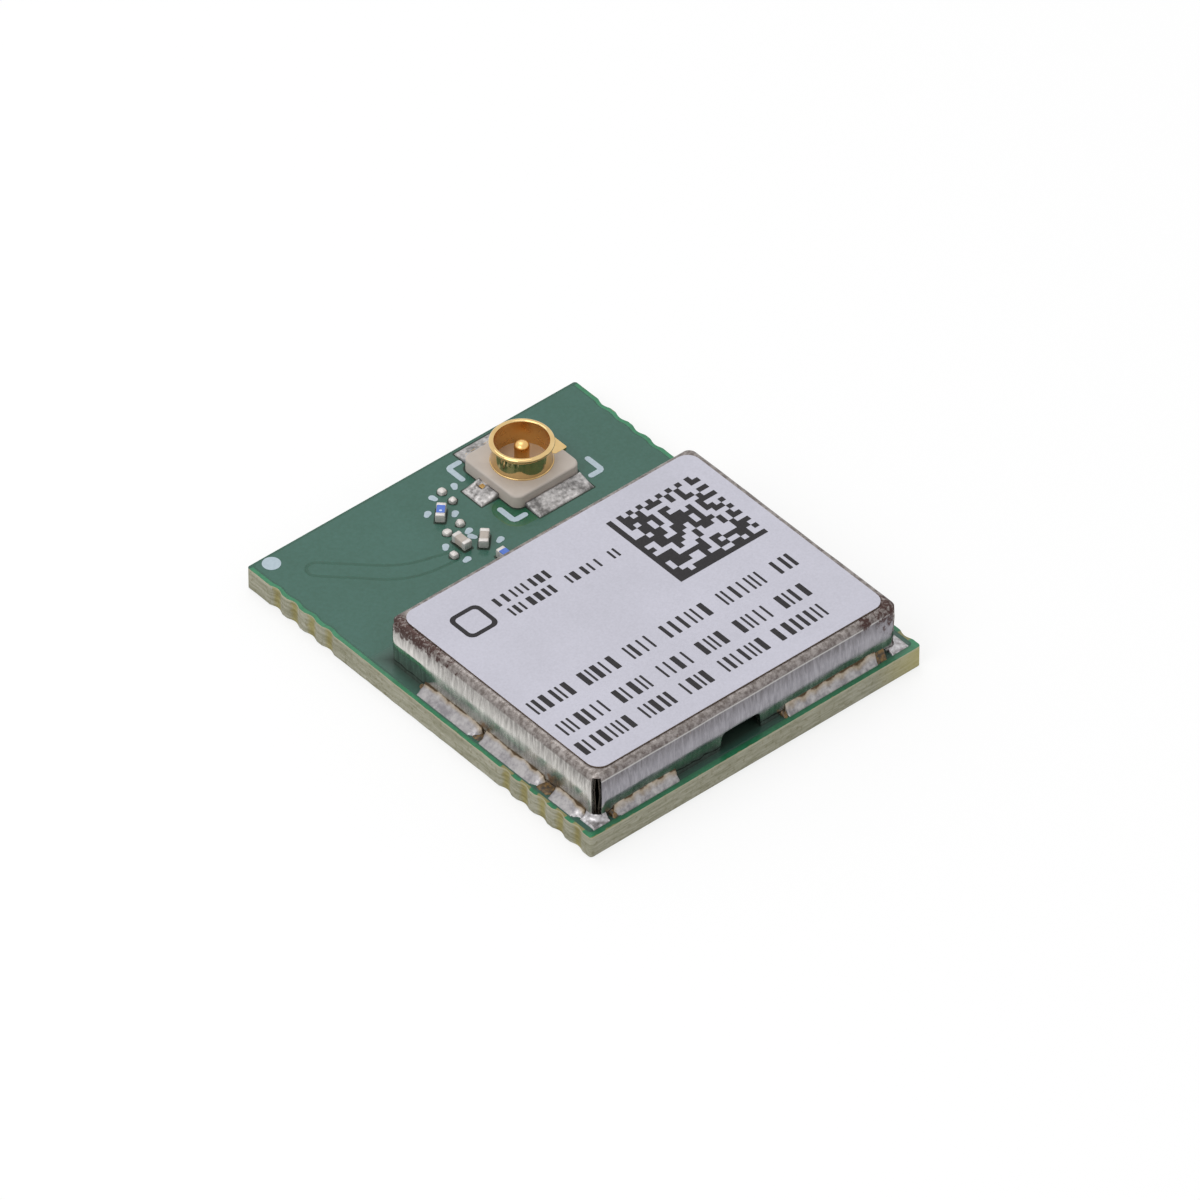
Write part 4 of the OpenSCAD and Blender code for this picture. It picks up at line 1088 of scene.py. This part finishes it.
# %% Corner pads
# Here the solder climbs the can's round corner on both sides of the slit, so the height depends on the
# distance from that round.
pad_x, pad_y, side, pad_cell = 6.16, can_low.y - 0.2, 0.66, 0.025
pad_height, pad_round, climb_reach, pad_pits = 0.03, 0.06, 0.07, 0.008
skins = []
for sign, climb in ((-1, 0.2), (1, 0.1)):
    corner_x = sign * pad_x

    def height(x, y, cx=corner_x, s=sign, rise=climb):
        """Height of the solder at a place of this corner's pad."""
        u, v = (cx - x) * s, y - pad_y
        edge = min(u, v, side - u, side - v) + 0.02 * rough_at(x, y, 0.15, 5 * s)
        round_off = math.hypot(max(0.0, abs(x) - reach_x), max(0.0, can_mid.y - reach_y - y)) - corner_r
        if edge < 0.01:
            return outside
        plate = pad_height * min(1, edge / pad_round) ** 0.5
        slope = rise * math.exp(-abs(round_off) / climb_reach)
        return plate + slope + pad_pits * rough_at(x, y, 0.12, s)
    xs = sorted((corner_x, corner_x - sign * side))
    skins.append(bed(xs, (pad_y, pad_y + side), height, pad_cell) + (0,))
hand_in(make_piece("corner_pads", skins, [corner_solder], 60), "solder", "shield_solder_corners")

# %% Flux left between the joints
# Flux runs into the notches between the joints and sets there, so its slopes are joints too, low and brown.
side_pools = ((can_low.y + 2.1, 0.32, 0.33), (can_low.y + 5.1, 0.22, 0.33), (can_low.y + 7.82, 0.1, 0.14))
front_pools = ((-5.27, 0.12, 0.16), (1.36, 0.1, 0.12), (5.12, 0.22, 0.26))
side_climb, front_reach, side_ends, front_ends = 0.05, 0.2, (0.12, 0.12), (0.08, 0.08)
pools = []
for wall in ((can_low.x, -1), (can_high.x, 1)):
    for middle, half, reach in side_pools:
        pools.append(((middle - half, middle + half), reach, side_climb, wall, "x", side_ends))
for middle, half, climb in front_pools:
    pools.append(((middle - half, middle + half), front_reach, climb, (can_low.y, -1), "y", front_ends))
skins = [joint(*pool, seed=60 + i) + (0,) for i, pool in enumerate(pools)]
hand_in(make_piece("flux_pools", skins, [flux], 60), "solder")

# %% [markdown]
# ## Antenna port
# The port is a moulded beige block with a gold-plated ring round a gold pin. Ring and pin are turned or
# drawn shapes, so a profile spun round the axis gives them. The lip must be a true round, because its
# long bright highlight is what the eye catches first. Bright plating mirrors the room in hard streaks, the
# satin inside of the ring and the pin glow evenly, and the matt block is a warm, quiet ground for both.

# %% Gold plating and moulded block
def gold_finish(name, dark, light, roughness, waves):
    """Thin gold over nickel: a slow change of tone, and a polish that varies with it."""
    material, tree, shader, where = new_finish(name)
    cloud = add(tree, "ShaderNodeTexNoise", {"Vector": where, "Scale": per_mm(0.3), "Detail": 4.0})
    tint = add(tree, "ShaderNodeMix", {0: cloud, 6: srgb(dark), 7: srgb(light)}, data_type="RGBA")
    rough = add(tree, "ShaderNodeMapRange",
                {"Value": cloud, "To Min": roughness * 0.5, "To Max": roughness * 1.5})
    bump = add(tree, "ShaderNodeBump", {"Height": cloud, "Strength": waves, "Distance": 0.008 * MM})
    fill(tree, shader, {"Base Color": tint, "Roughness": rough, "Normal": bump, "Metallic": 1.0})
    return material


gold = gold_finish("bright_gold_plating", "#cfa96c", "#e4ca96", 0.08, 0.15)
satin_gold = gold_finish("satin_gold_plating", "#ddb06b", "#e8c687", 0.3, 0.01)

block_polymer, tree, shader, where = new_finish("moulded_liquid_crystal_polymer")
cloud = add(tree, "ShaderNodeTexNoise", {"Vector": where, "Scale": per_mm(0.4), "Detail": 4.0})
tint = add(tree, "ShaderNodeMix", {0: cloud, 6: srgb("#aaa097"), 7: srgb("#bab1a9")}, data_type="RGBA")
# Painted shade and reflected gold: inside the ring the floor turns darker and browner.
plan = add(tree, "ShaderNodeVectorMath", {0: where, 1: (1, 1, 0)}, operation="MULTIPLY")
off_axis = add(tree, "ShaderNodeVectorMath", {0: plan, 1: Vector((port.x, port.y, 0)) * MM},
               operation="DISTANCE")
stain_and_shade = add(tree, "ShaderNodeMapRange",
            {"Value": off_axis, "From Min": 0.8 * MM, "From Max": 0.9 * MM, "To Min": 0.7, "To Max": 0.0})
tint = add(tree, "ShaderNodeMix", {0: stain_and_shade, 6: tint, 7: srgb("#a98c70")}, data_type="RGBA")
grit = add(tree, "ShaderNodeTexNoise", {"Vector": where, "Scale": per_mm(0.06), "Detail": 3.0})
bump = add(tree, "ShaderNodeBump", {"Height": grit, "Strength": 0.35, "Distance": 0.01 * MM})
fill(tree, shader, {"Base Color": tint, "Normal": bump, "Roughness": 0.55})
print("port finishes:", gold.name, satin_gold.name, block_polymer.name)

# %% The moulded block with its sunk floor
block_low, block_high = box_mm("coax_housing")
block_trim, block_shift, block_r, block_bevel, block_step = 0.04, 0.02, 0.3, 0.07, 0.12
block_w = block_high.x - block_low.x - block_trim
ring_in, ring_rim, floor_z = 0.84, 1.0, block_high.z - 0.05
bowl_r = ring_rim - 0.06


def block_ring(z):
    """Rounded square ring of the block, with points along its straights too."""
    corners = round_rect(block_w, block_w, block_r)
    ring = []
    for a, b in zip(corners, corners[1:] + corners[:1]):
        gap = math.dist(a, b)
        steps = max(1, round(gap / block_step))
        ring += [(a[0] + (b[0] - a[0]) * k / steps, a[1] + (b[1] - a[1]) * k / steps, z)
                 for k in range(steps)]
    return ring


def on_circle(ring, radius, z):
    """The same number of points on a circle, each at the angle of its partner."""
    return [(radius * x / math.hypot(x, y), radius * y / math.hypot(x, y), z) for x, y, _ in ring]


edge = block_ring(block_low.z)
bevel = [(block_bevel * (1 - math.cos(a)), block_high.z - block_bevel * (1 - math.sin(a)))
         for a in (math.radians(k * 18) for k in range(6))]
shrunk = [(1 - 2 * inset / block_w, z) for inset, z in bevel]
rings = [edge] + [[(p[0] * share, p[1] * share, z) for p in edge] for share, z in shrunk]
rings += [on_circle(edge, bowl_r, block_high.z), on_circle(edge, bowl_r, floor_z)]
points, faces = loft(rings)
block = make_piece("port_block", [(place(points, (port.x - block_shift, port.y, 0)), faces, 0)],
                   [block_polymer], 40)
hand_in(block, "housing_polymer", "coax_housing")

# %% Ring, feet and tab of the outer contact
spin_steps = 128


def spin(profile):
    """Closed skin of a closed profile of (radius, height) spun round the axis of the port."""
    ring = [math.tau * k / spin_steps for k in range(spin_steps)]
    points = [(port.x + r * math.cos(a), port.y + r * math.sin(a), z) for a in ring for r, z in profile]
    n = len(profile)
    starts = [(i * n, (i + 1) % spin_steps * n) for i in range(spin_steps)]
    faces = [(a + j, b + j, b + (j + 1) % n, a + (j + 1) % n) for a, b in starts for j in range(n)]
    return points, faces


def arc(middle, radius, start, end, steps=8):
    """Points of a bow from one angle to another, in degrees."""
    turns = [math.radians(start + (end - start) * k / steps) for k in range(steps + 1)]
    return [(middle[0] + radius * math.cos(a), middle[1] + radius * math.sin(a)) for a in turns]


shell_low, shell_high = box_mm("coax_shell")
lip_r, inner_lip_r, lip_top, seat_z = 0.075, 0.045, shell_high.z, block_high.z
neck_r, flare_r, seat_r = 0.872, 0.95, 0.978
profile = [(ring_in, floor_z - 0.02)]
profile += arc((ring_in + inner_lip_r, lip_top - inner_lip_r), inner_lip_r, 180, 90)
profile += arc((ring_rim - lip_r, lip_top - lip_r), lip_r, 90, -55, 14)
profile += [(0.9, lip_top - 0.185), (0.876, lip_top - 0.215), (neck_r, lip_top - 0.225)]
neck_top, neck_foot = Vector((neck_r, lip_top - 0.24)), Vector((flare_r, seat_z + 0.08))
profile += [tuple(neck_top.lerp(neck_foot, t)) for t in (0, 0.05, 0.35, 0.65, 0.95, 1)]
profile += [(0.954, seat_z + 0.055)] + arc((0.972, seat_z + 0.045), 0.02, 170, 260, 6)
profile += [(seat_r, seat_z + 0.008), (seat_r, seat_z - 0.04)]
ring_picks = [1 if j in (0, len(profile) - 1) else 0 for j in range(len(profile))] * spin_steps
tab_l, tab_w, tab_out, foot_l = 0.5, 0.92, 0.1, 1.8
tab = round_rect(tab_l, tab_w, 0.06, (block_high.x + tab_out - tab_l / 2, port.y), 4)
skins = [spin(profile) + (ring_picks,), loft([lift(tab, seat_z - 0.1), lift(tab, seat_z + 0.004)]) + (0,)]
for y in ((shell_low.y + block_low.y) / 2, (shell_high.y + block_high.y) / 2):
    foot = round_rect(foot_l, block_low.y - shell_low.y + 0.2, 0.05, (port.x, y), 4)
    skins.append(loft([lift(foot, top_z), lift(foot, top_z + 0.085), lift(foot, top_z + 0.1)]) + (0,))
hand_in(make_piece("port_ring", skins, [gold, satin_gold], 40), "gold_plating", "coax_shell")

# %% Pin and tail
tail_low, pin_high = box_mm("coax_pin")
pin_r, pin_nose, pin_steps = 0.235, 0.17, 64
collar_r = pin_r + 0.03
dome = [(pin_r * math.sin(a), pin_high.z - pin_nose * (1 - math.cos(a)))
        for a in (math.radians(k) for k in range(90, 3, -9))]
stem = [(collar_r, floor_z), (collar_r, floor_z + 0.015), (pin_r, floor_z + 0.05)]
ring = [math.tau * k / pin_steps for k in range(pin_steps)]
rings = [[(port.x + r * math.cos(a), port.y + r * math.sin(a), z) for a in ring] for r, z in stem + dome]
tail_end, tail_w, tail_t = block_low.x + 0.2, 0.5, 0.1
tail = round_rect(tail_end - tail_low.x, tail_w, 0.04, ((tail_end + tail_low.x) / 2, port.y), 4)
skins = [loft(rings) + (0,), loft([lift(tail, top_z), lift(tail, top_z + tail_t)]) + (0,)]
hand_in(make_piece("port_pin", skins, [satin_gold], 40), "gold_plating", "coax_pin")

# %% Solder on the port's three pads
port_pad_cell, port_pad_height, port_pad_sunk, lean_height, port_pad_pits = 0.03, 0.05, 0.01, 0.16, 0.007
bare_x, bare_y, bare_half = 1.15, port.y + 0.2, (0.1, 0.13)
front_pad_shift = 0.1


def pad_bed(x_span, y_span, lean, seed, dip=0.0):
    """A pad with solder that rises towards the block, rough and rounded at its rim."""
    def height(x, y):
        edge = min(x - x_span[0], x_span[1] - x, y - y_span[0], y_span[1] - y)
        rise = max(0.0, lean(x, y)) ** 1.5 * lean_height
        bare = dip * math.exp(-((x - bare_x) / bare_half[0]) ** 4 - ((y - bare_y) / bare_half[1]) ** 4)
        plate = port_pad_height * max(0.0, min(1, edge / pad_round)) ** 0.5 - port_pad_sunk
        return plate + rise - bare + port_pad_pits * rough_at(x, y, 0.16, seed)
    return bed(x_span, y_span, height, port_pad_cell)


front_low, front_high = box_mm("coax_solder_front")
back_low, back_high = box_mm("coax_solder_back")
signal_low, signal_high = box_mm("coax_solder_signal")
pads = {
    "coax_solder_front": ((front_low.x + front_pad_shift, front_high.x + front_pad_shift),
                          (front_low.y, front_high.y),
                          lambda x, y: (y - front_low.y) / (front_high.y - front_low.y), 0),
    "coax_solder_back": ((back_low.x, back_high.x), (back_low.y, back_high.y),
                         lambda x, y: (back_high.y - y) / (back_high.y - back_low.y), 1),
    "coax_solder_signal": ((signal_low.x, signal_high.x), (signal_low.y, signal_high.y),
                           lambda x, y: (x - signal_low.x) / (signal_high.x - signal_low.x), 2, 0.12),
}
for node, settings in pads.items():
    piece = make_piece(node.replace("coax", "port") + "_pad", [pad_bed(*settings) + (0,)], [pad_solder], 60)
    hand_in(piece, "solder", node)

# %% [markdown]
# ## Chips
# Four chips of 0.6 by 0.3 mm tune the port. Each is a small fired block with tin baked over both ends.
# Two have a blue glaze on top, one of them with a pale mark. The edges are worn round in a tumbling drum,
# so the blocks are lofted along their length from rounded sections. To the eye the ceramic is chalky, the
# glaze wet and deep, and the baked tin half metal and half powder.

# %% Finishes of the chips
def fired_finish(name, dark, light, roughness, metallic=0.0):
    """Fired ceramic, glaze or baked tin: small colour clouds and a fine grain."""
    return two_tone(name, dark, light, 0.12, roughness, metallic=metallic, bumps=0.3)


capacitor_ceramic = fired_finish("fired_capacitor_ceramic", "#a0968d", "#b9b0a7", 0.5)
inductor_ceramic = fired_finish("fired_inductor_ceramic", "#8f8d92", "#bdbbc0", 0.45)
blue_glaze = fired_finish("blue_glaze", "#3a5cb4", "#5a80d0", 0.25)
white_glaze = fired_finish("pale_glaze_mark", "#b3c1ea", "#d5def4", 0.35)
baked_tin = fired_finish("baked_tin", "#c0bbb7", "#dcd8d5", 0.55, 0.6)
print("chip finishes:", capacitor_ceramic.name, blue_glaze.name, baked_tin.name)

# %% Chips
chip_l, chip_w, chip_round, tin_l, under_chip = 0.6, 0.3, 0.04, 0.14, 0.01
glaze_w, glaze_t, mark_size, mark_x = 0.25, 0.004, (0.07, 0.09), -0.08


def section(x, inset):
    """Rounded cross-section of a chip at some place along it, resting on the board."""
    outline = round_rect(chip_w - 2 * inset, chip_w - 2 * inset, chip_round, (0, 0), 4)
    return [(x, p[0], top_z + under_chip + chip_w / 2 + p[1]) for p in outline]


def chip_skins(glazed, marked):
    """Body, two tin ends, glaze and its mark, along X at the origin."""
    half = chip_l / 2
    skins = [loft([section(x, 0.012) for x in (-half + tin_l - 0.01, half - tin_l + 0.01)]) + (0,)]
    tin_cap = ((half, 0.028), (half - 0.008, 0.01), (half - 0.025, 0.0), (half - tin_l + 0.012, 0.0),
               (half - tin_l, 0.01))
    for s in (-1, 1):
        skins.append(loft([section(s * x, i) for x, i in tin_cap]) + (1,))
    top = top_z + under_chip + chip_w
    if glazed:
        glaze = round_rect(chip_l - 2 * tin_l + 0.02, glaze_w, 0.03, (0, 0), 4)
        skins.append(loft([lift(glaze, z) for z in (top - 0.02, top + glaze_t)]) + (2,))
    if marked:
        mark = round_rect(*mark_size, 0.03, (mark_x, 0), 4)
        skins.append(loft([lift(mark, z) for z in (top, top + 2 * glaze_t)]) + (3,))
    return skins


chips = {"chip_inductor_1": ((-0.61, 5.80), 45, True, True),
         "chip_inductor_2": ((-0.40, 3.05), 90, True, False),
         "chip_capacitor_1": ((-0.96, 4.42), 90, False, False),
         "chip_capacitor_2": ((-0.37, 4.08), 45, False, False)}
for node, (spot, turn, glazed, marked) in chips.items():
    skins = [(place(p, (spot[0], spot[1], 0), turn), f, m) for p, f, m in chip_skins(glazed, marked)]
    body = inductor_ceramic if glazed else capacitor_ceramic
    piece = make_piece(node + "_tinned", skins, [body, baked_tin, blue_glaze, white_glaze], 40)
    hand_in(piece, "inductor_ceramic" if glazed else "capacitor_ceramic", node)

# %% [markdown]
# ## Bare pads with solder
# Five pads carry no chip, only a small squarish dome of solder each. They differ a little, which is
# work for Geometry Nodes: one flattened dome on each spot, sized by a fixed seed, then pushed about by
# noise after the copies are made real.

# %% Solder domes
dome_tree, given, result = new_tree("solder_domes",
                                    {"Spots": "Geometry", "Width": "Float", "Height": "Float",
                                     "Seed": "Int", "Solder": "Material"})
width = add(dome_tree, "ShaderNodeCombineXYZ",
            {"X": given["Width"], "Y": given["Width"], "Z": given["Width"]})
block = add(dome_tree, "GeometryNodeMeshCube",
            {"Size": width, "Vertices X": 11, "Vertices Y": 11, "Vertices Z": 11})
corner = add(dome_tree, "GeometryNodeInputPosition")
onto_ball = add(dome_tree, "ShaderNodeVectorMath", {0: corner}, operation="NORMALIZE")
onto_ball = add(dome_tree, "ShaderNodeVectorMath", {0: onto_ball, 1: width}, operation="MULTIPLY")
onto_ball = add(dome_tree, "ShaderNodeVectorMath", {0: onto_ball, "Scale": 0.56}, operation="SCALE")
squarish = add(dome_tree, "ShaderNodeMix", {0: 0.72, 4: corner, 5: onto_ball}, data_type="VECTOR")
spot = add(dome_tree, "ShaderNodeSeparateXYZ", {0: squarish})
share = add(dome_tree, "ShaderNodeMath", {0: given["Height"], 1: given["Width"]}, operation="DIVIDE")
flat = add(dome_tree, "ShaderNodeMath", {0: spot.outputs["Z"], 1: share}, operation="MULTIPLY")
flat = add(dome_tree, "ShaderNodeMath", {0: flat, 1: 2.0}, operation="MULTIPLY")
kept = add(dome_tree, "ShaderNodeMath", {0: flat, 1: -0.01 * MM}, operation="MAXIMUM")
half_ball = add(dome_tree, "ShaderNodeCombineXYZ",
                {"X": spot.outputs["X"], "Y": spot.outputs["Y"], "Z": kept})
dome = add(dome_tree, "GeometryNodeSetPosition", {"Geometry": block, "Position": half_ball})
size = add(dome_tree, "FunctionNodeRandomValue", {"Min": (0.88, 0.88, 0.9), "Max": (1.08, 1.08, 1.1),
                                                  "Seed": given["Seed"]}, data_type="FLOAT_VECTOR")
domes = add(dome_tree, "GeometryNodeInstanceOnPoints",
            {"Points": given["Spots"], "Instance": dome, "Scale": size})
solid = add(dome_tree, "GeometryNodeRealizeInstances", {0: domes})
lumps = add(dome_tree, "ShaderNodeTexNoise", {"Scale": per_mm(0.14), "Detail": 2.0})
push = add(dome_tree, "ShaderNodeVectorMath", {0: lumps.outputs["Color"], 1: (0.5, 0.5, 0.5)},
           operation="SUBTRACT")
push = add(dome_tree, "ShaderNodeVectorMath", {0: push, "Scale": 0.05 * MM}, operation="SCALE")
lumpy = add(dome_tree, "GeometryNodeSetPosition", {"Geometry": solid, "Offset": push})
smooth = add(dome_tree, "GeometryNodeSetShadeSmooth", {"Geometry": lumpy})
dyed = add(dome_tree, "GeometryNodeSetMaterial", {"Geometry": smooth, "Material": given["Solder"]})
fill(dome_tree, result, {0: dyed})
spare_spots = [(0.11, 6.60), (0.09, 6.08), (-0.40, 5.15), (-0.96, 5.09), (-1.46, 4.19)]
domes = grow("spare_pad_domes", dome_tree,
             {"Width": 0.25 * MM, "Height": 0.14 * MM, "Seed": 4, "Solder": baked_tin},
             [(x, y, top_z) for x, y in spare_spots])
hand_in(domes, "solder", "spare_pad_solder")

# %% Painted shade round the pads
# Round every chip, dome and pad, and round the port's block, a thin dark plate just wider than it lies on
# the lacquer: painted contact shade, with a little flux.
# Painted shade: dark plates round the chips, domes, pads and block stand in for their contact shade.
contact_shade = two_tone("painted_contact_shade_round_pads", "#0d1f16", "#21382a", 0.1, 0.7, detail=3.0)
shade_dome_side, chip_margin, pad_margin, block_margin = 0.33, (0.12, 0.1), 0.07, 0.1
shade_sunk, shade_t = 0.004, 0.003
round_dome = lift(round_rect(shade_dome_side, shade_dome_side, 0.1), 0)
round_chip = lift(round_rect(chip_l + chip_margin[0], chip_w + chip_margin[1], 0.06), 0)
shade_plates = [place(round_dome, (x, y, 0), 45) for x, y in spare_spots]
shade_plates += [place(round_chip, (*spot, 0), turn) for spot, turn, _, _ in chips.values()]
for (x0, x1), (y0, y1), *_ in pads.values():
    middle = ((x0 + x1) / 2, (y0 + y1) / 2)
    shade_plates.append(round_rect(x1 - x0 + pad_margin, y1 - y0 + pad_margin, 0.04, middle))
shade_plates.append(round_rect(block_w + block_margin, block_w + block_margin, block_r,
                           (port.x - block_shift, port.y)))
skins = [loft([lift(o, top_z - shade_sunk), lift(o, top_z + shade_t)]) + (0,) for o in shade_plates]
hand_in(make_piece("painted_shade_round_pads", skins, [contact_shade]), "board")

# %% [markdown]
# ## Contact lands
# The module is soldered to its carrier through rows of gold-plated lands underneath. All lands are
# alike, so one tree lays a row: a line of points and a rounded plate on each.

# %% Rows of lands
land_tree, given, result = new_tree("land_row",
                                    {"Count": "Int", "Start": "Vector", "Step": "Vector", "Width": "Float",
                                     "Length": "Float", "Thickness": "Float", "Plating": "Material"})
line = add(land_tree, "GeometryNodeMeshLine",
           {"Count": given["Count"], "Start Location": given["Start"], "Offset": given["Step"]})
shape = add(land_tree, "GeometryNodeCurvePrimitiveQuadrilateral",
            {"Width": given["Width"], "Height": given["Length"]})
shape = add(land_tree, "GeometryNodeFilletCurve",
            {"Curve": shape, "Count": 5, "Radius": 0.08 * MM, "Limit Radius": True}, mode="POLY")
sheet = add(land_tree, "GeometryNodeFillCurve", {"Curve": shape}, mode="NGONS")
rise = add(land_tree, "ShaderNodeCombineXYZ", {"Z": given["Thickness"]})
plate = add(land_tree, "GeometryNodeExtrudeMesh", {"Mesh": sheet, "Offset": rise, "Individual": False},
            mode="FACES")
under = add(land_tree, "GeometryNodeFlipFaces", {"Mesh": sheet})
whole = add(land_tree, "GeometryNodeJoinGeometry")
for part in (plate, under):
    fill(land_tree, whole, {0: part})
welded = add(land_tree, "GeometryNodeMergeByDistance", {"Geometry": whole, "Distance": 0.0005 * MM})
copies = add(land_tree, "GeometryNodeInstanceOnPoints", {"Points": line, "Instance": welded})
solid = add(land_tree, "GeometryNodeRealizeInstances", {0: copies})
dyed = add(land_tree, "GeometryNodeSetMaterial", {"Geometry": solid, "Material": given["Plating"]})
fill(land_tree, result, {0: dyed})
print("tree", land_tree.name, "has", len(land_tree.nodes), "nodes")
land_w, land_l, land_pitch, land_t, land_count = 0.6, 0.9, 1.1, 0.05, 9
for node in ("lands_left", "lands_right", "lands_front"):
    low, high = box_mm(node)
    middle = (low + high) / 2
    if node == "lands_front":
        start, step = Vector((low.x + land_w / 2, middle.y, 0)), Vector((land_pitch, 0, 0))
        width, length = land_w, land_l
    else:
        start, step = Vector((middle.x, low.y + land_w / 2, 0)), Vector((0, land_pitch, 0))
        width, length = land_l, land_w
    row = grow(node + "_plated", land_tree,
               {"Count": land_count, "Start": start * MM, "Step": step * MM, "Width": width * MM,
                "Length": length * MM, "Thickness": land_t * MM, "Plating": gold})
    hand_in(row, "gold_plating", node)

# %% [markdown]
# ## Inside the can
# Under the closed can the solids themselves stay: the radio chip, its amplifier, the crystal and the
# supply parts. Nobody sees them in the picture, but whoever lifts the can should find real finishes: matt
# black mould, bright tinned leads, a brown ceramic tub and grey ferrite.

# %% Finishes for the hidden parts
mould = fired_finish("moulded_epoxy_body", "#1d1d1f", "#2b2b2e", 0.6)
lead_tin = fired_finish("tinned_copper_lead", "#b9b4ae", "#d8d3cd", 0.35, 1.0)
crystal_tub = fired_finish("fired_crystal_tub", "#71614e", "#8d7c66", 0.55)
ferrite = fired_finish("pressed_ferrite", "#3c3c3f", "#525257", 0.6)
inside_finish = {"radio_chip": mould, "amplifier_chip": mould,
                 "radio_chip_leadframe": lead_tin, "amplifier_chip_leadframe": lead_tin,
                 "crystal_base": crystal_tub, "crystal_lid": baked_tin, "supply_inductor": ferrite}
inside_finish.update({f"inner_capacitor_{k}": capacitor_ceramic for k in range(1, 7)})
for node, material in inside_finish.items():
    mesh = frame["nodes"][node].data
    mesh.materials.clear()
    mesh.materials.append(material)
print("finished", len(inside_finish), "solids inside the can")
